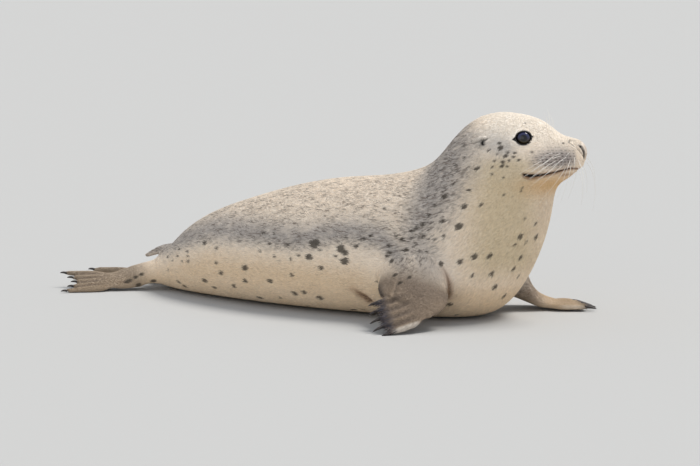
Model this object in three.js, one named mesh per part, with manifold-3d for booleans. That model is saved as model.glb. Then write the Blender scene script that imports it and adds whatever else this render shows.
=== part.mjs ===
// Harbor seal, a life-size animal lying on its belly with its head raised and turned to its left.
// Millimetres, +X forward along the trunk, +Z up, the animal's right side at -Y, floor at z = 0.
import * as THREE from 'three';
import { LoftGeometry } from 'three/addons/geometries/LoftGeometry.js';
import { mergeVertices } from 'three/addons/utils/BufferGeometryUtils.js';
import Module from 'manifold-3d';

const wasm = await Module();
wasm.setup();

// ---- driving dimensions ----
const GAP = 0.35;                 // clearance left between neighbouring solids
const RINGS_PER_STATION = 2;      // sections drawn from one named station of the body to the next
const ARM_RINGS = 8;              // sections drawn along a flipper's arm
const TAIL_RINGS = 7;             // sections drawn along the tail
const WORLD = 3000;               // size of the blocks used to trim and to part

// Points round one section of each kind of part, and round and down each ball.
const POINTS = { body: 22, arm: 12, web: 10, tail: 10, digit: 6, claw: 5 };
const SEGMENTS = { eye: [14, 9], ear: [8, 6] };

const TURN_START = -106;          // where the neck starts to turn to the left
const TURN_END = 71;              // where the turn is complete
const TURN_ANGLE = THREE.MathUtils.degToRad(24);

const EYE = { along: 97, side: 44.5, up: 349, radius: 17 };
const EAR = { along: 22, side: 70.5, up: 345, length: 22, height: 6, depth: 5.5, tilt: 0.45 };
const NECK_CUT = { at: [20, 0, 213], tilt: 0.94 };
const HEAD_CUT = { at: [45, 0, 297], tilt: 0.84 };

// Sections of the straight animal from tail to nose. top and bottom are [along, up] in the middle
// plane, width is the half-width, level is the height share of the widest point, and upper and
// lower are the exponents of the two half-outlines (2 is an ellipse, more is squarer). What lies
// below the floor is trimmed away, which presses the belly flat.
const BODY_STATIONS = [
  { top: [-712, 46], bottom: [-716, 12], width: 32, level: 0.5, upper: 2.0, lower: 2.2 },
  { top: [-700, 64], bottom: [-704, 2], width: 47, level: 0.48, upper: 2.0, lower: 2.4 },
  { top: [-679, 89], bottom: [-681, -4], width: 62, level: 0.45, upper: 2.0, lower: 2.6 },
  { top: [-640, 127], bottom: [-640, -6], width: 84, level: 0.43, upper: 2.0, lower: 2.8 },
  { top: [-580, 163], bottom: [-580, -6], width: 108, level: 0.42, upper: 2.0, lower: 3.0 },
  { top: [-500, 193], bottom: [-500, -6], width: 132, level: 0.41, upper: 2.0, lower: 3.1 },
  { top: [-400, 225], bottom: [-400, -6], width: 152, level: 0.4, upper: 2.0, lower: 3.2 },
  { top: [-300, 247], bottom: [-300, -6], width: 162, level: 0.4, upper: 2.0, lower: 3.2 },
  { top: [-200, 259], bottom: [-200, -6], width: 162, level: 0.4, upper: 2.0, lower: 3.1 },
  { top: [-120, 278], bottom: [-110, -6], width: 153, level: 0.4, upper: 1.9, lower: 2.9 },
  { top: [-77, 300], bottom: [-30, -6], width: 142, level: 0.4, upper: 1.9, lower: 2.6 },
  { top: [-54, 331], bottom: [38, 5], width: 131, level: 0.4, upper: 1.9, lower: 2.3 },
  { top: [-34, 357], bottom: [84, 44], width: 117, level: 0.42, upper: 1.9, lower: 2.1 },
  { top: [-12, 377], bottom: [115, 96], width: 102, level: 0.45, upper: 2.0, lower: 2.0 },
  { top: [12, 391], bottom: [135, 145], width: 90, level: 0.48, upper: 2.0, lower: 2.0 },
  { top: [38, 396.5], bottom: [147, 190], width: 82, level: 0.49, upper: 2.0, lower: 2.0 },
  { top: [64, 394.5], bottom: [151, 222], width: 76, level: 0.47, upper: 1.95, lower: 2.0 },
  { top: [88, 391.5], bottom: [153, 243], width: 69, level: 0.43, upper: 1.85, lower: 2.0 },
  { top: [110, 387.5], bottom: [158, 253], width: 59, level: 0.4, upper: 1.8, lower: 2.0 },
  { top: [130, 379.5], bottom: [167, 261], width: 49, level: 0.38, upper: 1.8, lower: 2.0 },
  { top: [146, 368], bottom: [177, 268], width: 43, level: 0.38, upper: 1.85, lower: 2.0 },
  { top: [160, 354], bottom: [186, 275], width: 40.5, level: 0.4, upper: 2.0, lower: 2.0 },
  { top: [176, 348.5], bottom: [194, 280], width: 40.5, level: 0.44, upper: 2.1, lower: 2.3 },
  { top: [191, 346.5], bottom: [201, 286], width: 38.5, level: 0.47, upper: 2.1, lower: 2.4 },
  { top: [204, 341], bottom: [208, 294], width: 31, level: 0.5, upper: 2.2, lower: 2.4 },
  { top: [212, 333], bottom: [213, 303], width: 19, level: 0.5, upper: 2.1, lower: 2.1 },
  { top: [215.5, 324], bottom: [215.5, 311], width: 6, level: 0.5, upper: 2.0, lower: 2.0 },
];

// A fore flipper. arm lists sections from the shoulder to the knuckles: centre, the direction from
// the trailing to the leading edge, the half-width and the half-thickness. The digits start on the
// last section and point along reach, the first digit on the leading edge, and fan spreads them.
// web is the share of the outer digits that the web reaches.
const FORE_RIGHT = {
  arm: [
    { at: [-50, -92, 124], edge: [1, 0, 0], width: 60, thick: 34 },
    { at: [-50, -128, 104], edge: [0.98, -0.08, -0.15], width: 68, thick: 30 },
    { at: [-42, -150, 86], edge: [0.94, -0.15, -0.28], width: 71, thick: 23.5 },
    { at: [-23, -167, 69], edge: [0.88, -0.25, -0.4], width: 67, thick: 18 },
    { at: [-3, -184, 55], edge: [0.82, -0.32, -0.48], width: 59, thick: 14 },
    { at: [0, -206, 43], edge: [0.8, -0.36, -0.48], width: 49, thick: 11 },
  ],
  reach: [-0.56, -0.79, -0.25],
  lengths: [82, 84, 79, 71, 61],
  fan: [0.05, 0.02, -0.02, -0.07, -0.13],
  web: 0.93,
};
const FORE_LEFT = {
  arm: [
    { at: [-38, 84, 118], edge: [0.8, -0.1, 0.6], width: 58, thick: 32 },
    { at: [-14, 112, 84], edge: [0.75, -0.2, 0.55], width: 62, thick: 27 },
    { at: [10, 130, 53], edge: [0.72, -0.42, 0.45], width: 56, thick: 20 },
    { at: [34, 142, 29], edge: [0.64, -0.68, 0.2], width: 47, thick: 15.5 },
    { at: [56, 152, 15], edge: [0.55, -0.83, 0.05], width: 43, thick: 12.5 },
    { at: [74, 162, 9.5], edge: [0.53, -0.85, 0.0], width: 43, thick: 11.5 },
  ],
  reach: [0.85, 0.53, -0.015],
  lengths: [74, 73, 67, 59, 50],
  fan: [0.06, 0.02, -0.02, -0.07, -0.12],
  web: 0.93,
};
// Half-widths and half-thicknesses. shares are the places of the sections along a digit, from its
// start at 0 to its tip at 1, and swell scales the section at each of them.
const DIGIT = {
  baseWidth: 11,
  tipWidth: 8.4,
  baseThick: 9,
  tipThick: 5.6,
  shares: [-0.28, 0.4, 0.88, 1],
  swell: [0.8, 1, 0.9, 0.45],
};
const WEB = { shares: [-0.2, 0.4, 1], thick: [10.5, 6, 3.4], margin: 3.7 };
// A claw's root lies inside its digit by the share rooted, and droop bends its point down.
const CLAW = { shares: [-0.25, 0.2, 0.65, 1], rooted: 0.25, swell: 1.05, taper: 0.85, depth: 1.15 };
const FORE_CLAW = { length: 18, radius: 3.3, droop: 0.175 };

// A hind flipper, laid out the same way: sections from the ankle to the base of the digits.
const HIND_RIGHT = {
  arm: [
    { at: [-655, -38, 46], edge: [0.25, -0.85, -0.5], width: 36, thick: 24 },
    { at: [-692, -47, 37], edge: [0.35, -0.72, -0.6], width: 33, thick: 20 },
    { at: [-722, -63, 27], edge: [0.42, -0.68, -0.58], width: 31, thick: 15 },
    { at: [-748, -82, 19.5], edge: [0.5, -0.74, -0.42], width: 34, thick: 11.5 },
    { at: [-770, -101, 16], edge: [0.57, -0.77, -0.3], width: 39, thick: 10 },
  ],
  reach: [-0.79, -0.61, -0.01],
  lengths: [88, 74, 66, 72, 85],
  fan: [0.13, 0.07, 0.0, -0.07, -0.14],
  web: 0.7,
};
const HIND_LEFT = {
  arm: [
    { at: [-655, 36, 46], edge: [-0.1, 0.85, -0.5], width: 36, thick: 24 },
    { at: [-693, 38, 37], edge: [-0.1, 0.75, -0.6], width: 33, thick: 20 },
    { at: [-725, 35, 27], edge: [-0.18, 0.72, -0.55], width: 31, thick: 15 },
    { at: [-754, 27, 19.5], edge: [-0.27, 0.86, -0.42], width: 34, thick: 11.5 },
    { at: [-780, 17, 16], edge: [-0.33, 0.9, -0.28], width: 38, thick: 10 },
  ],
  reach: [-0.94, -0.34, -0.01],
  lengths: [88, 74, 66, 72, 85],
  fan: [0.12, 0.06, 0.0, -0.06, -0.12],
  web: 0.7,
};
const HIND_CLAW = { length: 10, radius: 2.2, droop: 0.125 };

const TAIL_STATIONS = [
  { at: [-655, 0, 88], width: 24, thick: 14 },
  { at: [-690, 0, 78], width: 21, thick: 11 },
  { at: [-720, 0, 68], width: 16, thick: 8 },
  { at: [-741, 0, 59], width: 11, thick: 5.5 },
  { at: [-754, 0, 53], width: 4, thick: 3 },
];

// ---- finishes ----
const PALE_COAT = { name: 'pale coat', color: 0xc9b596, roughness: 0.8, metalness: 0 };
const FLANK_COAT = { name: 'flank coat', color: 0xbda684, roughness: 0.8, metalness: 0 };
const FLIPPER_COAT = { name: 'flipper coat', color: 0x8c7660, roughness: 0.8, metalness: 0 };
const HORN = { name: 'claw horn', color: 0x23222a, roughness: 0.45, metalness: 0 };
const EYE_GLOSS = { name: 'wet eye', color: 0x0a0908, roughness: 0.08, metalness: 0 };

// ---- solids ----
function solidOf(geometry) {
  const plain = new THREE.BufferGeometry();
  plain.setAttribute('position', geometry.attributes.position);
  plain.setIndex(geometry.index);
  const merged = mergeVertices(plain, 1e-4);
  const triangles = [];
  const index = merged.index.array;
  for (let i = 0; i < index.length; i += 3) {
    const [a, b, c] = [index[i], index[i + 1], index[i + 2]];
    if (a !== b && b !== c && c !== a) triangles.push(a, b, c);
  }
  return new wasm.Manifold(new wasm.Mesh({
    numProp: 3,
    vertProperties: new Float32Array(merged.attributes.position.array),
    triVerts: new Uint32Array(triangles),
  }));
}

function meshOf(name, solid, finish) {
  const { vertProperties, triVerts } = solid.getMesh();
  const geometry = new THREE.BufferGeometry();
  geometry.setAttribute('position', new THREE.BufferAttribute(vertProperties, 3));
  geometry.setIndex(new THREE.BufferAttribute(triVerts, 1));
  geometry.computeVertexNormals();
  const mesh = new THREE.Mesh(geometry, new THREE.MeshStandardMaterial(finish));
  mesh.name = name;
  return mesh;
}

function loft(sections) {
  return solidOf(new LoftGeometry(sections, { capStart: true, capEnd: true }));
}

const join = (solids) => solids.reduce((whole, solid) => whole.add(solid));

// ---- the turn of the neck ----
const turnRadius = (TURN_END - TURN_START) / TURN_ANGLE;

function headingAt(along) {
  return THREE.MathUtils.clamp((along - TURN_START) / turnRadius, 0, TURN_ANGLE);
}

// Takes a point of the straight animal to its place once the neck is turned.
function turned(along, side, up) {
  const angle = headingAt(along);
  const past = along - TURN_START - angle * turnRadius;
  const x = TURN_START + turnRadius * Math.sin(angle) + past * Math.cos(angle);
  const y = turnRadius * (1 - Math.cos(angle)) + past * Math.sin(angle);
  return new THREE.Vector3(x - side * Math.sin(angle), y + side * Math.cos(angle), up);
}

// ---- body ----
const STATION_VALUES = ['width', 'level', 'upper', 'lower'];

function stationCurve(read) {
  return new THREE.CatmullRomCurve3(BODY_STATIONS.map(read), false, 'catmullrom', 0.5);
}

function bodySections() {
  const tops = stationCurve((s) => new THREE.Vector3(s.top[0], 0, s.top[1]));
  const bottoms = stationCurve((s) => new THREE.Vector3(s.bottom[0], 0, s.bottom[1]));
  const values = STATION_VALUES.map((key) => stationCurve((s) => new THREE.Vector3(s[key], 0, 0)));
  const count = (BODY_STATIONS.length - 1) * RINGS_PER_STATION;
  return Array.from({ length: count + 1 }, (_, i) => {
    const t = i / count;
    const [width, level, upper, lower] = values.map((curve) => curve.getPoint(t).x);
    return { top: tops.getPoint(t), bottom: bottoms.getPoint(t), width, level, upper, lower };
  });
}

// One closed ring of the body, grown outwards by grow.
function bodyRing({ top, bottom, width, level, upper, lower }, grow) {
  const rise = top.clone().sub(bottom);
  const height = rise.length();
  rise.normalize();
  const middle = bottom.clone().addScaledVector(rise, height * level);
  return Array.from({ length: POINTS.body }, (_, i) => {
    const angle = (i / POINTS.body) * 2 * Math.PI;
    const [across, vertical] = [Math.sin(angle), -Math.cos(angle)];
    const power = 2 / (vertical > 0 ? upper : lower);
    const reach = grow + height * (vertical > 0 ? 1 - level : level);
    const side = (width + grow) * Math.sign(across) * Math.abs(across) ** power;
    const lift = reach * Math.sign(vertical) * Math.abs(vertical) ** power;
    const point = middle.clone().addScaledVector(rise, lift);
    return turned(point.x, side, point.z);
  });
}

const bodyLoft = (grow) => loft(bodySections().map((section) => bodyRing(section, grow)));

function eyeBall(centre, grow) {
  const geometry = new THREE.SphereGeometry(EYE.radius + grow, ...SEGMENTS.eye);
  geometry.translate(centre.x, centre.y, centre.z);
  return solidOf(geometry);
}

// ---- trimming and parting ----
function halfSpace(at, normal) {
  const geometry = new THREE.BoxGeometry(WORLD, WORLD, WORLD);
  geometry.translate(0, 0, WORLD / 2);
  const towards = new THREE.Quaternion().setFromUnitVectors(new THREE.Vector3(0, 0, 1), normal);
  geometry.applyQuaternion(towards);
  geometry.translate(at.x, at.y, at.z);
  return solidOf(geometry);
}

const aboveFloor = (solid) => solid.intersect(halfSpace(new THREE.Vector3(), new THREE.Vector3(0, 0, 1)));

// Parts a solid at a plane that leans by tilt from upright, leaving GAP between the two sides.
function partAt(solid, { at, tilt }) {
  const heading = headingAt(at[0]);
  const normal = new THREE.Vector3(Math.cos(tilt), 0, Math.sin(tilt));
  normal.applyAxisAngle(new THREE.Vector3(0, 0, 1), heading);
  const centre = turned(...at);
  const front = centre.clone().addScaledVector(normal, GAP / 2);
  const back = centre.clone().addScaledVector(normal, -GAP / 2);
  const behind = solid.intersect(halfSpace(back, normal.clone().negate()));
  return [behind, solid.intersect(halfSpace(front, normal))];
}

// ---- flippers ----
const vector = (values) => new THREE.Vector3(...values);

// A flattened oval ring round centre, in the plane of edge and face.
function ovalRing(centre, edge, face, width, thick, points) {
  return Array.from({ length: points }, (_, i) => {
    const angle = (i / points) * 2 * Math.PI;
    return centre.clone()
      .addScaledVector(edge, width * Math.cos(angle))
      .addScaledVector(face, thick * Math.sin(angle));
  });
}

// Squares an edge direction to the way a limb runs and adds the direction its face looks.
function limbFrame(run, towardsEdge) {
  const edge = vector(towardsEdge);
  edge.addScaledVector(run, -edge.dot(run)).normalize();
  return { edge, face: new THREE.Vector3().crossVectors(run, edge) };
}

function armFrame(arm, i) {
  const before = vector(arm[Math.max(i - 1, 0)].at);
  const after = vector(arm[Math.min(i + 1, arm.length - 1)].at);
  return limbFrame(after.sub(before).normalize(), arm[i].edge);
}

function armSolid(arm) {
  const frames = arm.map((_, i) => armFrame(arm, i));
  const curve = (read) => new THREE.CatmullRomCurve3(arm.map(read));
  const centres = curve((s) => vector(s.at));
  const edges = curve((_, i) => frames[i].edge);
  const faces = curve((_, i) => frames[i].face);
  const sizes = curve((s) => new THREE.Vector3(s.width, s.thick, 0));
  return loft(Array.from({ length: ARM_RINGS }, (_, i) => {
    const t = i / (ARM_RINGS - 1);
    const size = sizes.getPoint(t);
    const [edge, face] = [edges.getPoint(t).normalize(), faces.getPoint(t).normalize()];
    return ovalRing(centres.getPoint(t), edge, face, size.x, size.y, POINTS.arm);
  }));
}

// The rays of a paddle: where each digit starts and ends, on its own line of the fan.
function rays({ arm, reach, lengths, fan }) {
  const distal = vector(reach).normalize();
  const last = arm[arm.length - 1];
  const { edge, face } = limbFrame(distal, last.edge);
  return lengths.map((length, i) => {
    const place = (1 - i / 2) * (last.width - DIGIT.baseWidth);
    const start = vector(last.at).addScaledVector(edge, place);
    const way = distal.clone().addScaledVector(edge, fan[i]).normalize();
    const tip = start.clone().addScaledVector(way, length);
    return { start, tip, way, edge, face };
  });
}

function digitSolid({ start, tip, way, edge, face }) {
  const across = edge.clone().addScaledVector(way, -edge.dot(way)).normalize();
  return loft(DIGIT.shares.map((share, i) => {
    const at = new THREE.Vector3().lerpVectors(start, tip, share);
    const t = Math.max(share, 0);
    const width = THREE.MathUtils.lerp(DIGIT.baseWidth, DIGIT.tipWidth, t) * DIGIT.swell[i];
    const thick = THREE.MathUtils.lerp(DIGIT.baseThick, DIGIT.tipThick, t) * DIGIT.swell[i];
    return ovalRing(at, across, face, width, thick, POINTS.digit);
  }));
}

// The web is a thin plate from the first to the last digit, scalloped between their tips.
function webSolid(all, web) {
  const outer = [all[0], all[all.length - 1]];
  return loft(WEB.shares.map((share, i) => {
    const ends = outer.map((ray) => new THREE.Vector3().lerpVectors(ray.start, ray.tip, share * web));
    const centre = ends[0].clone().add(ends[1]).multiplyScalar(0.5);
    const half = ends[0].distanceTo(ends[1]) / 2 + WEB.margin;
    const edge = ends[0].clone().sub(ends[1]).normalize();
    return ovalRing(centre, edge, all[0].face, half, WEB.thick[i], POINTS.web);
  }));
}

// A claw is a tapered horn that droops towards the floor from the tip of its digit.
function clawSolid({ tip, way, edge }, { length, radius, droop }) {
  const down = new THREE.Vector3(0, 0, -1);
  const face = new THREE.Vector3().crossVectors(way, edge).normalize();
  return loft(CLAW.shares.map((share) => {
    const t = Math.max(share, 0);
    const at = tip.clone().addScaledVector(way, (share - CLAW.rooted) * length);
    at.addScaledVector(down, droop * t ** 2 * length);
    const size = radius * (CLAW.swell - CLAW.taper * t);
    return ovalRing(at, edge, face, size, size * CLAW.depth, POINTS.claw);
  }));
}

function paddle(plan) {
  const all = rays(plan);
  return { all, whole: join([armSolid(plan.arm), webSolid(all, plan.web), ...all.map(digitSolid)]) };
}

const largestOf = (solid) => solid.decompose().sort((a, b) => b.volume() - a.volume())[0];

// A fore flipper carries five strong claws, each a solid of its own.
function foreFlipper(hand, plan, grownBody) {
  const { all, whole } = paddle(plan);
  const claws = all.map((ray) => aboveFloor(clawSolid(ray, FORE_CLAW)));
  const shells = all.map((ray) => clawSolid(ray, { ...FORE_CLAW, radius: FORE_CLAW.radius + GAP }));
  const bare = aboveFloor(whole).subtract(grownBody);
  const clear = shells.reduce((solid, shell) => solid.subtract(shell), bare);
  return [
    meshOf(`fore_flipper_${hand}`, largestOf(clear), FLIPPER_COAT),
    ...claws.map((solid, i) => meshOf(`claw_${hand}_${i + 1}`, solid, HORN)),
  ];
}

// A hind flipper's small claws are one with its digits.
function hindFlipper(hand, plan, grownBody) {
  const { all, whole } = paddle(plan);
  const clawed = join([whole, ...all.map((ray) => clawSolid(ray, HIND_CLAW))]);
  return meshOf(`hind_flipper_${hand}`, largestOf(aboveFloor(clawed).subtract(grownBody)), FLIPPER_COAT);
}

function tail(grownBody) {
  const curve = (read) => new THREE.CatmullRomCurve3(TAIL_STATIONS.map(read));
  const centres = curve((s) => vector(s.at));
  const sizes = curve((s) => new THREE.Vector3(s.width, s.thick, 0));
  const [edge, face] = [new THREE.Vector3(0, -1, 0), new THREE.Vector3(0, 0, 1)];
  const whole = loft(Array.from({ length: TAIL_RINGS }, (_, i) => {
    const t = i / (TAIL_RINGS - 1);
    const size = sizes.getPoint(t);
    return ovalRing(centres.getPoint(t), edge, face, size.x, size.y, POINTS.tail);
  }));
  return whole.subtract(grownBody);
}

// ---- assembly ----
function buildSeal() {
  const grownBody = bodyLoft(GAP);
  const eyes = [-1, 1].map((hand) => turned(EYE.along, hand * EYE.side, EYE.up));
  const sockets = eyes.map((centre) => eyeBall(centre, GAP));
  const whole = aboveFloor(bodyLoft(0));
  const [trunk, front] = partAt(whole, NECK_CUT);
  const [neck, headBlank] = partAt(front, HEAD_CUT);
  const head = sockets.reduce((solid, socket) => solid.subtract(socket), headBlank);
  return { grownBody, eyes, trunk, neck, head };
}

// An ear is a low fold of skin over the ear hole, let into the side of the head.
function ear(hand, blank) {
  const geometry = new THREE.SphereGeometry(1, ...SEGMENTS.ear);
  geometry.scale(EAR.length / 2, EAR.depth, EAR.height / 2);
  geometry.rotateY(-EAR.tilt);
  geometry.rotateZ(headingAt(EAR.along));
  const centre = turned(EAR.along, hand * EAR.side, EAR.up);
  geometry.translate(centre.x, centre.y, centre.z);
  return solidOf(geometry).subtract(blank);
}

const seal = new THREE.Group();
const { grownBody, eyes, trunk, neck, head } = buildSeal();
seal.add(meshOf('trunk', trunk, FLANK_COAT));
seal.add(meshOf('neck', neck, FLANK_COAT));
seal.add(meshOf('head', head, PALE_COAT));
seal.add(meshOf('tail', tail(grownBody), FLIPPER_COAT));
seal.add(...foreFlipper('right', FORE_RIGHT, grownBody), ...foreFlipper('left', FORE_LEFT, grownBody));
seal.add(hindFlipper('right', HIND_RIGHT, grownBody), hindFlipper('left', HIND_LEFT, grownBody));
['right', 'left'].forEach((hand, i) => {
  seal.add(meshOf(`eye_${hand}`, eyeBall(eyes[i], 0), EYE_GLOSS));
  seal.add(meshOf(`ear_${hand}`, ear(i ? 1 : -1, grownBody), PALE_COAT));
});

// The origin is the middle of the bounding box, on the floor.
const bounds = new THREE.Box3().setFromObject(seal);
const middle = bounds.getCenter(new THREE.Vector3());
seal.position.set(-middle.x, -middle.y, -bounds.min.z);
seal.updateMatrixWorld(true);

export default seal;
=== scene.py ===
"""Harbor seal: skin, coat, eyes, claws, whiskers and studio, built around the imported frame.

Blender units are metres. Sizes named here are millimetres unless a name says otherwise. The straight
frame is (along, side, up): the animal with its neck unturned, nose forward and its left at +side.
"""

import math

import bmesh
import bpy
import numpy as np
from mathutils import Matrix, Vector
from mathutils.bvhtree import BVHTree


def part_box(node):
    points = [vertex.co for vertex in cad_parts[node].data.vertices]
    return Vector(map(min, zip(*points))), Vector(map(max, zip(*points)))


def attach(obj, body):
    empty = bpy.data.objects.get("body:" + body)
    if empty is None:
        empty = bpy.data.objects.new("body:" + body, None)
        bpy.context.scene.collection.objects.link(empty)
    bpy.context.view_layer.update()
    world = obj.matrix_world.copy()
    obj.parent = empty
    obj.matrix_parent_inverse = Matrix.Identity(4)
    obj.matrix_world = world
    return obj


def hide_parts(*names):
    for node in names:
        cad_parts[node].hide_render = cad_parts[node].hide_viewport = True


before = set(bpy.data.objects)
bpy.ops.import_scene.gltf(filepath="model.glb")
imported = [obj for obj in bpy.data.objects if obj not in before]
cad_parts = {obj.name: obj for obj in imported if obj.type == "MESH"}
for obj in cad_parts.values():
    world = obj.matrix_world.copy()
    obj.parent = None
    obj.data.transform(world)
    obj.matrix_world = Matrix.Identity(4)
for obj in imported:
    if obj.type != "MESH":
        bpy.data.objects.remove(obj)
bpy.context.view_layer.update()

MM = 0.001
HANDS = {"right": -1, "left": 1}

# ---- the pose, as the solids have it ----
TURN_START = -106.0               # the neck turns to the left between these two places
TURN_END = 71.0
TURN_ANGLE = math.radians(24)
TURN_RADIUS = (TURN_END - TURN_START) / TURN_ANGLE
EYE = {"along": 97.0, "side": 44.5, "up": 349.0, "radius": 17.0}

# ---- the photo's view ----
VIEW_AZIMUTH = math.radians(33)
VIEW_ELEVATION = math.radians(8.5)
PHOTO = {"width": 700, "height": 466, "mm_per_px": 1.9}
LENS = 500.0
SENSOR = 36.0
AIM = (-208.4, -107.4, 156.6)     # the place at the middle of the picture, before the frame's shift

# ---- skin ----
VOXEL = 6.15
SWELL = 0.4                       # how far each solid grows so that neighbours meet
EYE_PLUG = 10.5                   # height over the eye's centre at which its socket is filled
CLAW_PLUG = 8.0                   # length of claw root that fills its socket
SKIN_OVER_FLOOR = 0.5

FLESH = ["trunk", "neck", "head", "tail", "ear_right", "ear_left", "fore_flipper_right",
         "fore_flipper_left", "hind_flipper_right", "hind_flipper_left"]
CLAWS = [f"claw_{hand}_{digit}" for hand in HANDS for digit in range(1, 6)]

# Each flipper: its knuckles, the way its arm and its hand run, and the hand's edge, unshifted. spread
# is the distance from the middle digit to the outer ones at the knuckles, and fan spreads the digits.
LIMBS = {
    "fore_flipper_right": {"knuckle": (0, -206, 43), "arm": (0.45, -0.7, -0.55),
                           "hand": (-0.56, -0.79, -0.25), "edge": (0.8, -0.36, -0.48),
                           "spread": 38, "fan": (0.05, 0.02, -0.02, -0.07, -0.13)},
    "fore_flipper_left": {"knuckle": (74, 162, 9.5), "arm": (0.7, 0.4, -0.59),
                          "hand": (0.85, 0.53, -0.015), "edge": (0.53, -0.85, 0.0),
                          "spread": 32, "fan": (0.06, 0.02, -0.02, -0.07, -0.12)},
    "hind_flipper_right": {"knuckle": (-770, -101, 16), "arm": (-0.8, -0.5, -0.33),
                           "hand": (-0.79, -0.61, -0.01), "edge": (0.57, -0.77, -0.3),
                           "spread": 28, "fan": (0.13, 0.07, 0.0, -0.07, -0.14)},
    "hind_flipper_left": {"knuckle": (-780, 17, 16), "arm": (-0.95, -0.1, -0.3),
                          "hand": (-0.94, -0.34, -0.01), "edge": (-0.33, 0.9, -0.28),
                          "spread": 27, "fan": (0.12, 0.06, 0.0, -0.06, -0.12)},
}


# ---- small numeric helpers ----
def unit(v):
    v = np.asarray(v, float)
    return v / np.maximum(np.linalg.norm(v, axis=-1, keepdims=True), 1e-12)


def square_to(v, axis):
    """The direction of v as seen along a unit axis, which is square to that axis."""
    v = np.asarray(v, float)
    return unit(v - axis * np.sum(v * axis, -1, keepdims=True))


def ease(low, high, x):
    """0 below low, 1 above high and smooth between them."""
    t = np.clip((np.asarray(x, float) - low) / (high - low), 0, 1)
    return t * t * (3 - 2 * t)


def bell(*scaled):
    """A soft hill of height 1 round the place where every scaled distance is 0."""
    return np.exp(-sum(np.asarray(s, float) ** 2 for s in scaled))


def between(a, b, share):
    """a where the share is 0 and b where it is 1."""
    return a * (1 - share) + b * share


def clipped(value):
    return np.clip(value, 0, 1)


def line_at(x, line):
    """The second value of a line of corners, read where its first value is x."""
    return np.interp(x, *zip(*line))


def nearest(tree, points):
    """The nearest spot of a tree of faces to each point, as (place, normal, face, distance)."""
    return [tree.find_nearest(Vector(p)) for p in points]


def heading_of(along):
    return np.clip((along - TURN_START) / TURN_RADIUS, 0, TURN_ANGLE)


def spin(vectors, angle):
    """Turns vectors about the upright axis."""
    x, y, z = np.asarray(vectors, float).T
    return np.stack([x * np.cos(angle) - y * np.sin(angle), x * np.sin(angle) + y * np.cos(angle), z], 1)


def turned(points):
    """Takes straight-frame points to their unshifted places, both in mm."""
    along, side, up = np.atleast_2d(np.asarray(points, float)).T
    angle = heading_of(along)
    past = along - TURN_START - angle * TURN_RADIUS
    x = TURN_START + TURN_RADIUS * np.sin(angle) + past * np.cos(angle) - side * np.sin(angle)
    y = TURN_RADIUS * (1 - np.cos(angle)) + past * np.sin(angle) + side * np.cos(angle)
    return np.stack([x, y, up], 1)


def eye_place(side):
    low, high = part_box(f"eye_{side}")
    return np.array((low + high) / 2) / MM


SHIFT = eye_place("right") - turned((EYE["along"], -EYE["side"], EYE["up"]))[0]


def packed(points):
    """Straight-frame mm to packed metres."""
    return (turned(points) + SHIFT) * MM


def straight(points):
    """Packed metres to straight-frame mm, and the heading at each point."""
    x, y, z = (np.asarray(points, float) / MM - SHIFT).T
    angle = np.clip(np.arctan2(x - TURN_START, TURN_RADIUS - y), 0, TURN_ANGLE)
    dx = x - TURN_START - TURN_RADIUS * np.sin(angle)
    dy = y - TURN_RADIUS * (1 - np.cos(angle))
    past = dx * np.cos(angle) + dy * np.sin(angle)
    side = dy * np.cos(angle) - dx * np.sin(angle)
    return np.stack([TURN_START + angle * TURN_RADIUS + past, side, z], 1), angle


def shifted(place):
    return (np.asarray(place, float) + SHIFT) * MM


# ---- camera ----
def view_axes():
    a, e = VIEW_AZIMUTH, VIEW_ELEVATION
    back = np.array([math.sin(a) * math.cos(e), -math.cos(a) * math.cos(e), math.sin(e)])
    right = np.array([math.cos(a), math.sin(a), 0.0])
    return right, np.cross(back, right), back


RIGHT, UP, BACK = view_axes()
SPAN = PHOTO["width"] * PHOTO["mm_per_px"] * MM
DISTANCE = SPAN * LENS / SENSOR
EYEPOINT = shifted(AIM) + BACK * DISTANCE


def ray_of(x, y):
    """The direction in which the camera sees a pixel of the photo."""
    step = SPAN / PHOTO["width"] / DISTANCE
    across = (x - PHOTO["width"] / 2) * step
    rise = (PHOTO["height"] / 2 - y) * step
    return Vector(-BACK + RIGHT * across + UP * rise).normalized()


def linked(name, data):
    """A new object of the scene that holds a mesh, a light or a camera."""
    obj = bpy.data.objects.new(name, data)
    bpy.context.scene.collection.objects.link(obj)
    return obj


def turn_towards(obj, way):
    """Turns a camera or a light so that it looks along way."""
    obj.rotation_mode = "QUATERNION"
    obj.rotation_quaternion = Vector(way).to_track_quat("-Z", "Y")


def make_camera():
    data = bpy.data.cameras.new("camera")
    data.lens = LENS
    data.sensor_width = SENSOR
    data.clip_end = DISTANCE * 3
    camera = linked("camera", data)
    camera.location = EYEPOINT
    turn_towards(camera, -BACK)
    bpy.context.scene.camera = camera


# ---- meshes ----
def mesh_of(bm, name):
    """Puts a bmesh into a new mesh and frees it."""
    mesh = bpy.data.meshes.new(name)
    bm.to_mesh(mesh)
    bm.free()
    return mesh


def welded(node):
    """The solid of a CAD node with its corners joined up again."""
    bm = bmesh.new()
    bm.from_mesh(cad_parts[node].data)
    bmesh.ops.remove_doubles(bm, verts=bm.verts, dist=1e-5)
    bm.normal_update()
    return bm


def read(items, field, width, kind=np.float32):
    """One field of every item of a mesh, as rows of width numbers."""
    out = np.empty(len(items) * width, kind)
    items.foreach_get(field, out)
    return out.reshape(-1, width)


def places(mesh):
    return read(mesh.vertices, "co", 3).astype(float)


def normals(mesh):
    return read(mesh.vertex_normals, "vector", 3).astype(float)


def put(mesh, co):
    mesh.vertices.foreach_set("co", np.asarray(co, np.float32).ravel())
    mesh.update()


def edge_pairs(mesh):
    return read(mesh.edges, "vertices", 2, np.int32)


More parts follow.
